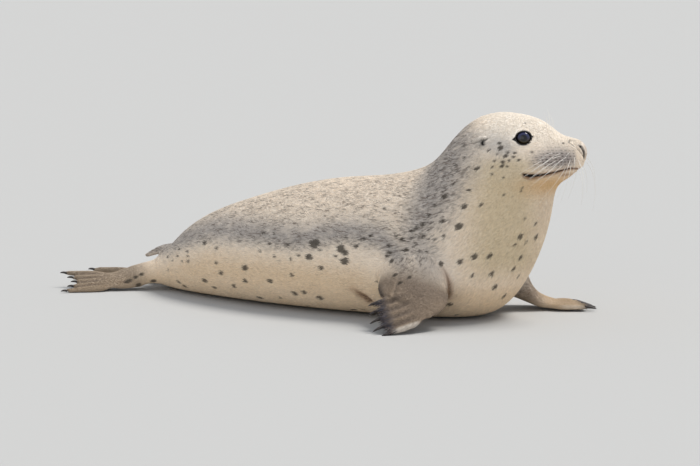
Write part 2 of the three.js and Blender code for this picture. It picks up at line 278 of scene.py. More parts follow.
def neighbour_mean(values, pairs):
    a, b = pairs.T
    n = len(values)
    degree = np.maximum(np.bincount(pairs.ravel(), minlength=n), 1)
    columns = values.reshape(n, -1).T
    total = [np.bincount(a, c[b], n) + np.bincount(b, c[a], n) for c in columns]
    return (np.stack(total, 1) / degree[:, None]).reshape(values.shape)


def relax(values, pairs, passes, weight=0.5):
    """Smooths values over the mesh, each vertex for its own number of passes."""
    passes = np.broadcast_to(passes, len(values))
    for i in range(int(passes.max())):
        move = ((passes > i) * weight).reshape((-1,) + (1,) * (values.ndim - 1))
        values = values + move * (neighbour_mean(values, pairs) - values)
    return values


# ---- flesh in one piece ----
def cut_down(node, start, axis, limit):
    """A node's solid, with what lies over limit mm from start along the axis pushed back to there."""
    bm = welded(node)
    for v in bm.verts:
        reach = (np.array(v.co) - start) @ axis
        v.co = v.co - Vector(axis * max(reach - limit * MM, 0))
    return bm


def eye_plug(side):
    axis = spin([unit((0.36, 0.86 * HANDS[side], 0.36))], TURN_ANGLE)[0]
    return cut_down(f"eye_{side}", eye_place(side) * MM, axis, EYE_PLUG)


def claw_line(node):
    """Root, tip and direction of a claw, read from its solid."""
    bm = welded(node)
    co = np.array([v.co for v in bm.verts])
    bm.free()
    middle = co.mean(0)
    axis = np.linalg.svd(co - middle)[2][0]
    wrist = shifted(LIMBS["fore_flipper_" + node.split("_")[1]]["knuckle"])
    axis = axis * np.sign(axis @ (middle - wrist))
    reach = (co - middle) @ axis
    return middle + axis * reach.min(), middle + axis * reach.max(), axis


def claw_plug(node):
    root, _, axis = claw_line(node)
    return cut_down(node, root, axis, CLAW_PLUG)


def flesh_blank():
    """All flesh as one mesh of overlapping solids, with the sockets of eyes and claws filled."""
    whole = bmesh.new()
    solids = [welded(n) for n in FLESH] + [eye_plug(s) for s in HANDS] + [claw_plug(n) for n in CLAWS]
    for bm in solids:
        bm.normal_update()
        for v in bm.verts:
            v.co = v.co + v.normal * SWELL * MM
        part = mesh_of(bm, "part")
        whole.from_mesh(part)
        bpy.data.meshes.remove(part)
    return mesh_of(whole, "flesh_blank")


def remeshed(mesh):
    obj = linked("flesh_blank", mesh)
    mod = obj.modifiers.new("whole", "REMESH")
    mod.mode = "VOXEL"
    mod.voxel_size = VOXEL * MM
    depsgraph = bpy.context.evaluated_depsgraph_get()
    result = bpy.data.meshes.new_from_object(obj.evaluated_get(depsgraph))
    bpy.data.objects.remove(obj)
    return result


def refine(mesh, zone):
    """Halves the faces whose centres zone() picks out."""
    bm = bmesh.new()
    bm.from_mesh(mesh)
    bm.faces.ensure_lookup_table()
    centres = np.array([f.calc_center_median() for f in bm.faces])
    chosen = np.flatnonzero(zone(centres))
    edges = {e for i in chosen for e in bm.faces[i].edges}
    bmesh.ops.subdivide_edges(bm, edges=list(edges), cuts=1, use_grid_fill=True)
    bm.to_mesh(mesh)
    bm.free()
    mesh.update()


def head_zone(centres):
    s, _ = straight(centres)
    return (s[:, 0] > 45) & (s[:, 2] > 225)


def on_limb(owner):
    return np.isin(owner, [FLESH.index(n) for n in [*LIMBS, "tail"]])


def limb_zone(centres):
    return on_limb(nearest_node(centres))


def fold_zone(centres):
    zone = np.zeros(len(centres), bool)
    for pixels, width, _ in FOLDS:
        zone |= fold_distance(centres, cast_line(SOLIDS, pixels))[0] < 2.8 * width
    return zone


def disc(s, along, up, radius, least_side):
    """Places within a radius of (along, up), seen from the side, and clear of the middle."""
    return (np.hypot(s[:, 0] - along, s[:, 2] - up) < radius) & (np.abs(s[:, 1]) > least_side)


def face_zone(centres):
    s, _ = straight(centres)
    along, side, up = s.T
    muzzle = (along > 168) & (up > 270)
    lips = (np.abs(up - 286) < 11) & (along > 90) & (np.abs(side) > 18)
    eye = disc(s, 99, 350, 27, 25)
    return eye | muzzle | lips | disc(s, 24, 346, 19, 50)


def fine_zone(centres):
    s, _ = straight(centres)
    nose = (s[:, 0] > 186) & (s[:, 2] > 300) & (s[:, 2] < 350)
    return disc(s, 99, 350, 25, 25) | disc(s, 25, 346, 16, 50) | nose


def solid_tree():
    """A tree of the flesh solids' faces, with the node that owns each face."""
    corners, faces, owner = [], [], []
    for i, node in enumerate(FLESH):
        bm = welded(node)
        start = len(corners)
        corners += [tuple(v.co) for v in bm.verts]
        faces += [tuple(v.index + start for v in f.verts) for f in bm.faces]
        owner += [i] * len(bm.faces)
        bm.free()
    return BVHTree.FromPolygons(corners, faces), np.array(owner)


SOLIDS, SOLID_OWNER = solid_tree()


def nearest_node(points):
    """The number in FLESH of the solid nearest to each point."""
    return SOLID_OWNER[[found[2] for found in nearest(SOLIDS, points)]]


def snapped(points, chosen):
    """Moves the chosen points onto the solids' own faces."""
    out = points.copy()
    out[chosen] = [found[0] for found in nearest(SOLIDS, points[chosen])]
    return out


# ---- sculpting, in the straight frame ----
def eye_frame(hand):
    """Centre of the eyeball, the way it looks, and the forward and upward axes of its lids."""
    centre = np.array([EYE["along"], hand * EYE["side"], EYE["up"]])
    axis = unit((0.2, hand * 0.95, 0.17))
    forward = square_to((1.0, 0, 0.17), axis)
    upward = np.cross(axis, forward) * hand
    upward = upward * np.sign(upward[2])
    return centre, axis, forward, upward


OPENING = {"half_length": 14.6, "half_height": 12.0, "front_corner": 20.5, "rear_corner": 23.0}
# Lids: how far they clear the eyeball, the height of their rim and the depth of the crease behind it
# and of the tail at each corner, in mm; then ring numbers: where their hold on the skin ends, and how
# near to the opening a vertex is put right on its edge.
LID = {"clear": 1.5, "rim": 0.7, "crease": 0.35, "tail": 1.3, "fade": 1.85, "snap": 0.07}


def lid_measures(s, hand):
    """For each point: u and v in the eye's plane, its height over the eye's centre and its ring
    number, which is 1 on the edge of the lids."""
    centre, axis, forward, upward = eye_frame(hand)
    d = s - centre
    u, v, h = d @ forward, d @ upward, d @ axis
    ring = np.sqrt((u / OPENING["half_length"]) ** 2 + (v / OPENING["half_height"]) ** 2)
    return u, v, h, ring


def sculpt_lids(s, hand):
    """Lays the skin over the eyeball as lids and takes it inside the ball within their opening."""
    centre, axis, forward, upward = eye_frame(hand)
    u, v, h, ring = lid_measures(s, hand)
    near = (h > -8) & (ring < 2.4)
    edge = near & (np.abs(ring - 1) < LID["snap"])
    scale = np.where(edge, 1 / np.maximum(ring, 1e-6), 1.0)
    u, v = u * scale, v * scale
    ring = np.where(edge, 1.0, ring)
    spread = np.hypot(u, v)
    ball = np.sqrt(np.maximum((EYE["radius"] + LID["clear"]) ** 2 - spread ** 2, 0))
    hold = 1 - ease(1.0, LID["fade"], ring)
    lid = h + hold * (np.maximum(ball, h) - h)
    lid += LID["rim"] * bell((ring - 1.12) / 0.16) - LID["crease"] * bell((ring - 1.62) / 0.2)
    tail_front = ease(12, 15, u) * (1 - ease(18, OPENING["front_corner"] + 1, u))
    tail_rear = ease(12, 15, -u) * (1 - ease(16, OPENING["rear_corner"] + 1, -u))
    lid -= LID["tail"] * (tail_front + tail_rear) * bell(v / 2.8)
    inside = np.sqrt(np.maximum((EYE["radius"] * 0.86) ** 2 - spread ** 2, 0))
    depth = 1 - ease(0.9, 0.995, ring)
    height = np.where(ring < 1, lid + depth * (inside - lid), lid)
    moved = centre + u[:, None] * forward + v[:, None] * upward + height[:, None] * axis
    return np.where(near[:, None], moved, s)


def nearest_on_line(points, line, marks):
    """Distance from points to a line of corners, and what its corners' marks come to at the foot."""
    best = np.full(len(points), 1e9)
    value = np.zeros(len(points))
    for a, b, first, second in zip(line[:-1], line[1:], marks[:-1], marks[1:]):
        t = np.clip((points - a) @ (b - a) / max((b - a) @ (b - a), 1e-12), 0, 1)
        d = np.linalg.norm(points - a - t[:, None] * (b - a), axis=1)
        value = np.where(d < best, first + t * (second - first), value)
        best = np.minimum(best, d)
    return best, value


def line_share(points, line):
    """Distance from 2D points to a line of corners, and the share of its length at the foot."""
    line = np.asarray(line, float)
    run = np.concatenate([[0], np.cumsum(np.linalg.norm(np.diff(line, axis=0), axis=1))])
    return nearest_on_line(points, line, run / run[-1])


def line_distance(points, line):
    return line_share(points, line)[0]


def under_line(along, up, line):
    """Whether each place lies under a line of (along, up) corners."""
    return up < line_at(along, line)


MOUTH = [(98, 286.5), (112, 284.2), (124, 283.2), (141, 283.6), (158, 285.6), (174, 289.6),
         (187, 292.6), (196, 291.5), (203, 288.5), (210, 288.0)]
GAPE = [(98, 0.8), (104, 2.5), (112, 3.4), (121, 3.1), (132, 2.3), (147, 1.6), (168, 1.2), (205, 1.1)]
# The opening of a nostril and the crease round its wing, seen from the front as (off the middle, up).
NOSTRIL = [(15.4, 331), (16, 325), (14.8, 317), (12.4, 309)]
NOSTRIL_WING = [(11.5, 343.5), (19.5, 340), (25, 333), (26, 325), (22.5, 316), (14, 308)]
WING_MIDDLE = [(18, 336), (20.8, 330), (21, 325), (18.6, 317.5), (15, 311)]
EAR_FOLD = [(13, 343.5), (19, 346.5), (26, 349.8), (31.5, 350.5)]
EAR_HOLE = (29.0, 340.5)
EAR_LEAST_SIDE = 45               # the ears' marks lie further than this from the middle
# Soft hills and hollows of the head: height, middle and half-size, each size as (along, side, up).
HEAD_FORMS = [
    (3.4, (176, 27, 308), (26, 17, 15)),      # whisker pad
    (1.6, (104, 45, 375), (20, 20, 10)),      # brow
    (-1.8, (140, 44, 338), (16, 16, 13)),     # hollow in front of the eye
    (1.2, (76, 66, 305), (26, 22, 26)),       # cheek
    (1.4, (176, 0, 272), (16, 22, 9)),        # chin
]


# How deep the marks of the head are cut, and how high the upper lip and the ear's fold stand.
CUT = {"lips": 2.4, "under_lip": 1.3, "nostril": 4.8, "wing": 3.2, "wing_middle": 2.0,
       "lip_pit": 2.6, "lip_groove": 1.9, "ear_slot": 3.0, "ear_hole": 5.0}
STAND = {"upper_lip": 1.1, "ear_fold": 4.2}


def mouth_width(along):
    """Half the height in mm of the dark opening of the lips, which is widest near its corner."""
    return line_at(along, GAPE)


def mouth_offset(along, up):
    """Height above the middle of that opening; MOUTH is its upper edge."""
    return up - line_at(along, MOUTH) + mouth_width(along) - 1.2


def nostril_distances(s):
    """Distances in mm, seen from the front, from the opening of the nearer nostril and from its wing."""
    front_view = np.stack([np.abs(s[:, 1]), s[:, 2]], 1)
    behind = 60 * (1 - ease(172, 180, s[:, 0]))
    return line_distance(front_view, NOSTRIL) + behind, line_distance(front_view, NOSTRIL_WING) + behind


def ear_hole_distance(along, up):
    return np.hypot(along - EAR_HOLE[0], (up - EAR_HOLE[1]) / 1.3)


def along_normal(s, n, amount):
    return s + n * amount[:, None]


def sculpt_head(s, n):
    """Cheeks, whisker pads, lips, nose and ears. s and n are straight-frame places and normals."""
    along, side, up = s.T
    lateral = np.abs(side)
    flat = s[:, [0, 2]]
    either_side = np.stack([along, lateral, up], 1)
    amount = sum(height * bell(*((either_side - middle) / size).T) for height, middle, size in HEAD_FORMS)

    mouth = line_distance(flat, MOUTH)
    below = under_line(along, up, MOUTH)
    fade = ease(96, 108, along) * (up < 306)
    wide = mouth_width(along)
    amount -= fade * (CUT["lips"] + 0.5 * wide) * bell(mouth_offset(along, up) / (0.9 * wide))
    amount -= fade * below * CUT["under_lip"] * bell((mouth - 2 * wide - 2) / 4)
    amount += fade * ~below * STAND["upper_lip"] * bell((mouth - 5) / 4.5)

    slit, wing = nostril_distances(s)
    middle = line_distance(np.stack([lateral, up], 1), WING_MIDDLE)
    amount -= CUT["nostril"] * bell(slit / 2.3) + CUT["wing"] * bell(wing / 1.8)
    amount -= CUT["wing_middle"] * bell(middle / 3.4) * ease(176, 186, along)
    front = ease(192, 203, along)
    amount -= front * CUT["lip_pit"] * bell(side / 11, (up - 304) / 9)
    amount -= front * (1 - ease(310, 318, up)) * CUT["lip_groove"] * bell(side / 1.8)

    fold, fold_share = line_share(flat, EAR_FOLD)
    by_ear = lateral > EAR_LEAST_SIDE
    amount += by_ear * STAND["ear_fold"] * bell(fold / 2.1) * (1 - 0.3 * fold_share)
    amount -= by_ear * under_line(along, up, EAR_FOLD) * CUT["ear_slot"] * bell((fold - 4.0) / 1.5)
    amount -= by_ear * CUT["ear_hole"] * bell(ear_hole_distance(along, up) / 3.4)
    return along_normal(s, n, amount)


# ---- the skin ----
COAT_DEPTH = {"trunk": 2.4, "less_on_head": 1.1, "less_on_muzzle": 0.5, "hand": 0.7}


def coat_depth(s, limb):
    """How far the skin lies inside the solids."""
    along, _, up = s.T
    raised = ease(230, 270, up)
    depth = COAT_DEPTH["trunk"] - COAT_DEPTH["less_on_head"] * ease(20, 90, along) * raised
    depth -= COAT_DEPTH["less_on_muzzle"] * ease(120, 165, along) * raised
    return between(depth, COAT_DEPTH["hand"], limb)


def away_from_trunk(place):
    """Distance in mm from the trunk's solid."""
    bm = welded("trunk")
    tree = BVHTree.FromBMesh(bm)
    bm.free()
    return np.array([found[3] for found in nearest(tree, place)]) / MM


def hand_axes(plan):
    run = unit(plan["hand"])
    return run, square_to(plan["edge"], run)


def flippers(place, owner):
    """For each flipper: its name, its plan, which places are its own, and how far every place lies
    along and across the hand from its knuckles, in mm."""
    for name, plan in LIMBS.items():
        run, edge = hand_axes(plan)
        d = (place - shifted(plan["knuckle"])) / MM
        yield name, plan, owner == FLESH.index(name), d @ run, d @ edge


def wrist_share(place, owner):
    """1 on the knuckles of each flipper, falling away on both sides of them."""
    return sum(mine * bell((x + 8) / 20) for _, _, mine, x, _ in flippers(place, owner))


def digit_grooves(place, owner):
    """1 half-way between two digits of a flipper and 0 on the digits and outside them."""
    groove = np.zeros(len(place))
    for _, plan, mine, x, y in flippers(place, owner):
        x, y = x[mine], y[mine]
        lines = [(1 - i / 2) * plan["spread"] + fan * x for i, fan in enumerate(plan["fan"])]
        for first, second in zip(lines[:-1], lines[1:]):
            t = np.clip((first - y) / (first - second), 0, 1)
            groove[mine] += np.sin(np.pi * t) ** 2 * ease(-8, 30, x)
    return groove


# Folds of skin round the near arm: pixels along each from its faint to its deep end, then its
# half-width and depth in mm.
ARMPIT_FRONT = [(441, 264), (446, 273), (449.5, 283), (450, 293), (448, 300)]
ARMPIT_REAR = [(347, 286.5), (356, 290.5), (365, 296), (375, 303)]
ARM_FLAP = [(401, 268), (396, 283), (391, 298)]
FOLDS = [(ARMPIT_FRONT, 3.4, 4.0), (ARMPIT_REAR, 3.4, 3.2), (ARM_FLAP, 4.0, 2.6)]


def seen(tree, x, y):
    """The place on a tree of faces that the camera sees at a pixel, or None."""
    return tree.ray_cast(Vector(EYEPOINT), ray_of(x, y))[0]


def cast_line(tree, pixels, steps=14):
    """Places under a line of pixels."""
    run = np.linspace(0, len(pixels) - 1, steps)
    xs, ys = (np.interp(run, range(len(pixels)), values) for values in zip(*pixels))
    found = [seen(tree, x, y) for x, y in zip(xs, ys)]
    return np.array([tuple(place) for place in found if place is not None])


def fold_distance(points, line):
    """Distance in mm from points to a fold's places in packed metres, and the fold's strength at the
    foot, which grows from 0 at its start and drops at its very end."""
    best, share = nearest_on_line(points, line, np.arange(len(line)) / (len(line) - 1))
    return best / MM, ease(0, 0.75, share) * (1 - ease(0.86, 1.0, share))


def mesh_tree(mesh, corners=None):
    corners = places(mesh) if corners is None else corners
    return BVHTree.FromPolygons(corners.tolist(), [tuple(p.vertices) for p in mesh.polygons])


def fold_depth(mesh, s):
    """How deep the folds round the near arm are."""
    tree = mesh_tree(mesh)
    co = places(mesh)
    depth = np.zeros(len(s))
    for pixels, width, deep in FOLDS:
        d, strength = fold_distance(co, cast_line(tree, pixels))
        depth += deep * strength * (bell(d / width) - 0.3 * bell((d - 2.3 * width) / width))
    return depth


# Passes of smoothing over the whole mesh, by part; then over the joins of limbs and on the knuckles.
BODY_PASSES, HEAD_PASSES, LIMB_PASSES = 46, 16, 3
JOIN_PASSES = 110
KNUCKLE_PASSES = 26
GROOVE_DEPTH = 1.5                # of the hollows between digits


def melted():
    """The flesh as one closed mesh, with its joins rounded off and its finer parts refined."""
    mesh = remeshed(flesh_blank())
    co = places(mesh)
    pairs = edge_pairs(mesh)
    owner = nearest_node(co)
    limb = relax(on_limb(owner).astype(float), pairs, 3)
    s, _ = straight(co)
    head = ease(20, 80, s[:, 0]) * ease(215, 260, s[:, 2])
    passes = between(np.round(between(BODY_PASSES, HEAD_PASSES, head)), LIMB_PASSES, limb)
    co = relax(co, pairs, passes.astype(int))
    shoulder = relax(limb, pairs, 26)
    passes = JOIN_PASSES * 4 * shoulder * (1 - shoulder) + KNUCKLE_PASSES * wrist_share(co, owner)
    put(mesh, relax(co, pairs, np.round(passes).astype(int)))
    refine(mesh, lambda c: head_zone(c) | limb_zone(c) | fold_zone(c))
    refine(mesh, lambda c: face_zone(c) | fold_zone(c))
    refine(mesh, fine_zone)
    return mesh


def build_skin():
    """The skin, the solid that owns each of its vertices and how far each belongs to a limb."""
    mesh = melted()
    co = places(mesh)
    pairs = edge_pairs(mesh)
    owner = nearest_node(co)
    hand = on_limb(owner)
    away = away_from_trunk(co)
    reach = np.where(owner == FLESH.index("tail"), ease(4, 20, away), ease(38, 75, away))
    hold = relax(hand * 1.0, pairs, 6) * reach * (1 - wrist_share(co, owner))
    co = co + hold[:, None] * (snapped(co, hold > 0.02) - co)
    limb = relax(hand.astype(float), pairs, 8)
    co = relax(co, pairs, np.where(hand, 4, 6))
    put(mesh, co)
    s, heading = straight(co)
    n = spin(normals(mesh), -heading)
    grooves = GROOVE_DEPTH * digit_grooves(co, owner) + fold_depth(mesh, s)
    s = along_normal(s, n, -coat_depth(s, limb) - grooves)
    s = sculpt_head(s, n)
    for hand_sign in HANDS.values():
        s = sculpt_lids(s, hand_sign)
    s[:, 2] = np.maximum(s[:, 2], SKIN_OVER_FLOOR)
    put(mesh, packed(s))
    mesh.name = "skin"
    return mesh, owner, limb


# ---- the lie of the coat and where each marking goes ----
# How steeply the hair points down, as (along, slope), and its slope on the head.
COAT_PITCH = [(-170, 0.0), (-80, 0.15), (-20, 0.55), (40, 0.95), (90, 0.8), (130, 0.3)]
HEAD_PITCH = 0.2


def coat_lie(s, heading, n, place, owner):
    """The way the hair points at each place, along the skin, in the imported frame."""
    on_head = ease(245, 310, s[:, 2]) * ease(30, 90, s[:, 0])
    down = between(line_at(s[:, 0], COAT_PITCH), HEAD_PITCH, on_head)
    flow = spin(unit(np.stack([-np.ones(len(s)), np.zeros(len(s)), -down], 1)), heading)
    for _, plan, mine, x, _ in flippers(place, owner):
        share = ease(-70, -5, x[mine])[:, None]
        flow[mine] = between(unit(plan["arm"]), unit(plan["hand"]), share)
    return square_to(flow, n)


def hair_places(s, place, owner):
    """Coordinates in metres that run along the hair first, for streaks."""
    hair = s * MM
    for _, plan, mine, x, y in flippers(place, owner):
        depth = (place - shifted(plan["knuckle"])) @ np.cross(*hand_axes(plan))
        hair[mine] = np.stack([x * MM, y * MM, depth], 1)[mine]
    return hair


# The lower limit of the grey of the back as (along, up), and its front limit on the neck as (up, along).
GREY_EDGE = [(-720, 60), (-600, 98), (-527, 121), (-400, 128), (-290, 128), (-187, 150), (-113, 142),
             (-80, 112), (-40, 60)]
NECK_EDGE = [(60, -60), (120, -38), (171, -25), (209, -5), (255, 14), (312, 26), (367, 10), (400, -20)]
WARM_EDGE = [(-720, 30), (-520, 88), (-288, 96), (-158, 92), (0, 70), (140, 70)]
SADDLE = [(-22, 330), (-28, 240), (-46, 182), (-62, 132), (-58, 92)]
# SHOULDER runs down each shoulder, where grey is painted as the neck's cast shadow.
SHOULDER = [(-62, 182), (-46, 140), (-34, 100), (-30, 70)]

# Dark spots seen on the near side: the pixel where each lies and its half-length in mm.
LARGE_SPOTS = [(316, 244, 11), (342, 249, 9), (346, 253, 7), (346, 261.5, 8.5), (310, 257, 7.5),
               (246, 268, 7.5), (460, 225.5, 7.5), (475.4, 256, 6.5), (296, 293.6, 6.5)]
BODY_SPOTS = [
    (291, 259, 4.5), (289, 244, 4.5), (275, 234, 3.5), (265, 233, 3.5), (271, 244, 3.5), (205.6, 243, 5),
    (217.5, 248, 4), (180, 249, 3.5), (188, 251.5, 3.5), (189, 262, 3.5), (222, 273, 5), (246, 281, 5),
    (206, 281, 5), (217.5, 263, 3.2), (235, 286, 5), (216, 288, 4), (271, 281, 5), (180, 282.5, 4.5),
    (186.5, 287, 4.5), (178, 293, 3), (194.5, 294.6, 3), (205, 297, 3.5), (212, 297, 4.5), (223.6, 299, 5),
    (261.5, 298, 5.5), (266, 302.6, 4), (282, 298, 3.2), (305, 292, 5), (321, 297.6, 6), (293, 275, 4.5),
    (322, 268, 5), (356, 309.7, 6), (154, 281, 5), (357.5, 246, 4.5), (390.6, 252, 4.5), (390, 246, 4),
    (392, 260.5, 4.6), (395.4, 274.7, 4.4), (400.3, 282.5, 4.4), (410, 277, 3.4), (446, 196, 6),
    (465, 206, 5.5), (482, 204, 3.5), (490.5, 255.4, 4.8), (461, 261, 5.5), (441.4, 263, 5),
    (521, 236, 5.5), (536.7, 236, 5), (527, 241, 3.5), (516, 244, 3.5), (521.3, 256.7, 5),
    (514.6, 267.6, 4), (492.4, 273, 5), (519.6, 274.7, 3.5), (473.5, 274.5, 3.5), (496, 285.7, 5),
    (505, 295, 4.5), (450.5, 304, 5.5), (457.7, 314.5, 4), (479, 314, 4), (443.5, 220.5, 4.5),
    (445, 235.5, 4), (536.5, 222.6, 3.5), (526.4, 217, 2.4), (470.5, 190, 3.4), (130, 280.5, 4.5),
    (136, 277, 4), (139, 285, 5), (127, 282, 4), (142, 274, 4), (444.3, 191, 3), (430, 215, 4.2),
    (424, 224, 4.4), (413, 231, 4), (404, 240, 4.4), (417, 244, 4), (407, 250, 4.4), (425, 236, 4),
    (398, 236, 4), (372, 236, 3.6), (362, 240, 3.4), (436, 205, 4), (386, 209, 3.4), (429, 187, 3.6),
    (418, 228, 4.4), (168.6, 257, 3.4), (173.7, 260, 3), (178, 256, 2.8), (183.3, 261.8, 2.8),
    (189, 257, 3.2), (169, 270.4, 2.8), (261.4, 252, 3.2), (275.7, 256, 3.2), (280.8, 261.8, 3),
    (262.4, 306, 3.6), (309.8, 306, 3.2), (327, 309, 3), (365.5, 317.8, 3), (347.8, 237.8, 3.4),
    (336, 256, 3), (365.5, 238.8, 3.6), (436, 238.8, 3.2), (428.4, 251.8, 3.4), (299, 255.6, 3),
    (388, 255.8, 3.2), (377.5, 281.6, 3.2), (366.3, 309.7, 3), (321.6, 250, 3), (149.4, 291, 3.4),
    (157, 287.6, 3.2),
]
HEAD_SPOTS = [
    (501.2, 147.4, 6), (500, 143, 4), (506.3, 155.4, 4.4), (514.4, 156.6, 3.6), (503.5, 161.7, 4.4),
    (502.9, 165.5, 4.2), (494.9, 160.3, 3), (493.1, 166.3, 2.6), (492.9, 173.5, 3), (503.8, 177.5, 2.6),
    (489.5, 149.5, 3.4), (469.9, 166.3, 3.2), (478.2, 167.8, 4.8), (465.7, 156.8, 3.6), (465.6, 145, 3.8),
    (451.8, 167, 3.4), (456.6, 164.6, 4), (451, 160, 3.2), (454.7, 184, 3.4), (521.5, 190.4, 2.4),
    (522.8, 187.3, 2.6), (504.6, 194.2, 2.2), (532.7, 152, 2.6), (563.7, 143.4, 2.4), (525.6, 123.3, 2.2),
    # The spot at (515.5, 152.6) is painted shade under the eye.
    (515.5, 152.6, 3), (509, 152, 3), (520, 160, 3), (509.7, 160.3, 3), (498, 153.5, 2.6), (508, 166, 2.4),
]


# Each set of spots with the share of its sizes that is drawn; then the spread in mm by which the far
# side's spots are moved from a mirror image, the spread of their sizes, and the lowest one's height.
SPOT_SETS = [(LARGE_SPOTS, 0.85), (BODY_SPOTS, 0.95), (HEAD_SPOTS, 0.82)]
FAR_SHIFTS = (24, 3, 15)
FAR_SIZES = (0.7, 1.15)
LOWEST_FAR_SPOT = 12


def spot_list(mesh, rng):
    """Spots on the near side where the photo has them, and a scattered set like them on the far side."""
    tree = mesh_tree(mesh)
    found = []
    for spots, scale in SPOT_SETS:
        for x, y, size in spots:
            place = seen(tree, x, y)
            if place is not None:
                found.append((*place, size * scale))
    near, sizes = np.split(np.array(found), [3], 1)
    s, _ = straight(near)
    far = s * (1, -1, 1) + rng.normal(0, FAR_SHIFTS, s.shape)
    keep = far[:, 2] > LOWEST_FAR_SPOT
    far_sizes = sizes[:, 0] * rng.uniform(*FAR_SIZES, len(s))
    far_places = np.array([hit[0] for hit in nearest(tree, packed(far[keep]))])
    return np.concatenate([near, far_places]), np.concatenate([sizes[:, 0], far_sizes[keep]])


def spot_field(place, lie, spots, sizes):
    """How far each place lies inside the nearest spot, in mm; below 0 outside."""
    best = np.full(len(place), -20.0)
    for centre, size in zip(spots, sizes):
        close = np.flatnonzero(np.abs(place - centre).max(1) < 0.03)
        if not len(close):
            continue
        d = (place[close] - centre) / MM
        run = np.sum(d * lie[close], 1)
        across = np.sum(d * d, 1) - run ** 2
        value = size - np.sqrt((run / 1.3) ** 2 + across)
        best[close] = np.maximum(best[close], value)
    return best


def eye_shadow(s):
    """Dark skin round each eye, drawn out to a point at both corners."""
    dark = np.zeros(len(s))
    for hand in HANDS.values():
        u, v, h, _ = lid_measures(s, hand)
        corner = np.where(u > 0, OPENING["front_corner"], OPENING["rear_corner"])
        rim = 14.3 * np.sqrt(1 - clipped(np.abs(u) / 17.0) ** 2)
        tail = 9.6 * clipped((corner - np.abs(u)) / (corner - 10)) ** 1.15
        inside = 1 - ease(-0.6, 1.0, np.abs(v) - np.maximum(rim, tail))
        dark = np.maximum(dark, inside * (h > 0) * (np.abs(u) < corner))
    return dark


# Soft patches seen from the side: strength, middle and half-size as (along, up), and how far from the
# middle of the animal each starts.
PATCHES = {
    "behind_eye": (0.85, (66, 335), (22, 16), 40),
    "temple": (0.6, (35, 347), (34, 15), 40),
    "chin": (1.0, (150, 262), (50, 20), 0),
    "pad": (1.5, (160, 312), (40, 17), 6),
    "under_lip": (0.7, (176, 279), (11, 3.4), 0),
}


def patch(s, name):
    """How strongly a patch covers each place."""
    strength, (along, up), (half_along, half_up), start = PATCHES[name]
    hill = strength * bell((s[:, 0] - along) / half_along, (s[:, 2] - up) / half_up)
    return hill * (np.abs(s[:, 1]) >= start)


def body_marks(s):
    """Grey, flecks, blotches and warm tones of the back, neck, chest and crown, with painted shade on the
    shoulders, round the eyes and on the throat and chest.
    """
    along, side, up = s.T
    level = line_at(along, GREY_EDGE)
    on_back = 1 - ease(-90, -20, along)
    whole_back = ease(level - 20, level + 16, up) * on_back
    back = whole_back * (1 - 0.85 * ease(level + 16, level + 60, up))
    front = line_at(up, NECK_EDGE)
    nape = (1 - ease(front - 50, front + 30, along)) * ease(70, 150, up) * ease(-110, -50, along)
    saddle = bell(line_distance(s[:, [0, 2]], SADDLE) / 32)
    # Painted shadow of the neck on each shoulder, as grey.
    shoulder = 0.8 * bell(line_distance(s[:, [0, 2]], SHOULDER) / 26) * (np.abs(side) > 70)
    shelf = 0.75 * bell((up - level - 4) / 17) * on_back
    behind_eye = patch(s, "behind_eye")
    crown = ease(300, 370, up) * ease(-10, 60, along)
    body = np.maximum(np.maximum(back, nape), shoulder) * (1 - 0.5 * crown)
    grey = clipped(body + behind_eye + patch(s, "temple") + 0.26 * crown)
    # Painted shade round each eye, strongest behind and below it, as grey.
    for hand in HANDS.values():
        u, v, h, ring = lid_measures(s, hand)
        grey = np.maximum(grey, 0.6 * (h > 0) * bell((u + 8) / 22, (v + 6) / 16) * (ring > 1))
    pepper = clipped(np.maximum(0.9 * whole_back, nape) * (1 - 0.6 * crown) + 0.4 * behind_eye)
    blotch = clipped(np.maximum(saddle, shelf) + 0.3 * nape * (1 - crown) + 0.3 * behind_eye)
    warm = 1 - ease(-24, 36, up - line_at(along, WARM_EDGE))
    warm = np.maximum(warm, 0.55 * ease(-30, 60, along) * (1 - ease(262, 300, up)))
    # Greenish tan with painted shade on the throat, chest and lower cheeks.
    olive_and_shade = ease(-10, 60, along) * ease(70, 130, up) * (1 - ease(300, 330, up)) * (1 - ease(90, 150, along))
    return {"grey": grey, "pepper": pepper, "blotch": blotch, "warm": warm, "olive_and_shade": olive_and_shade,
            "pale": 0.85 * crown}


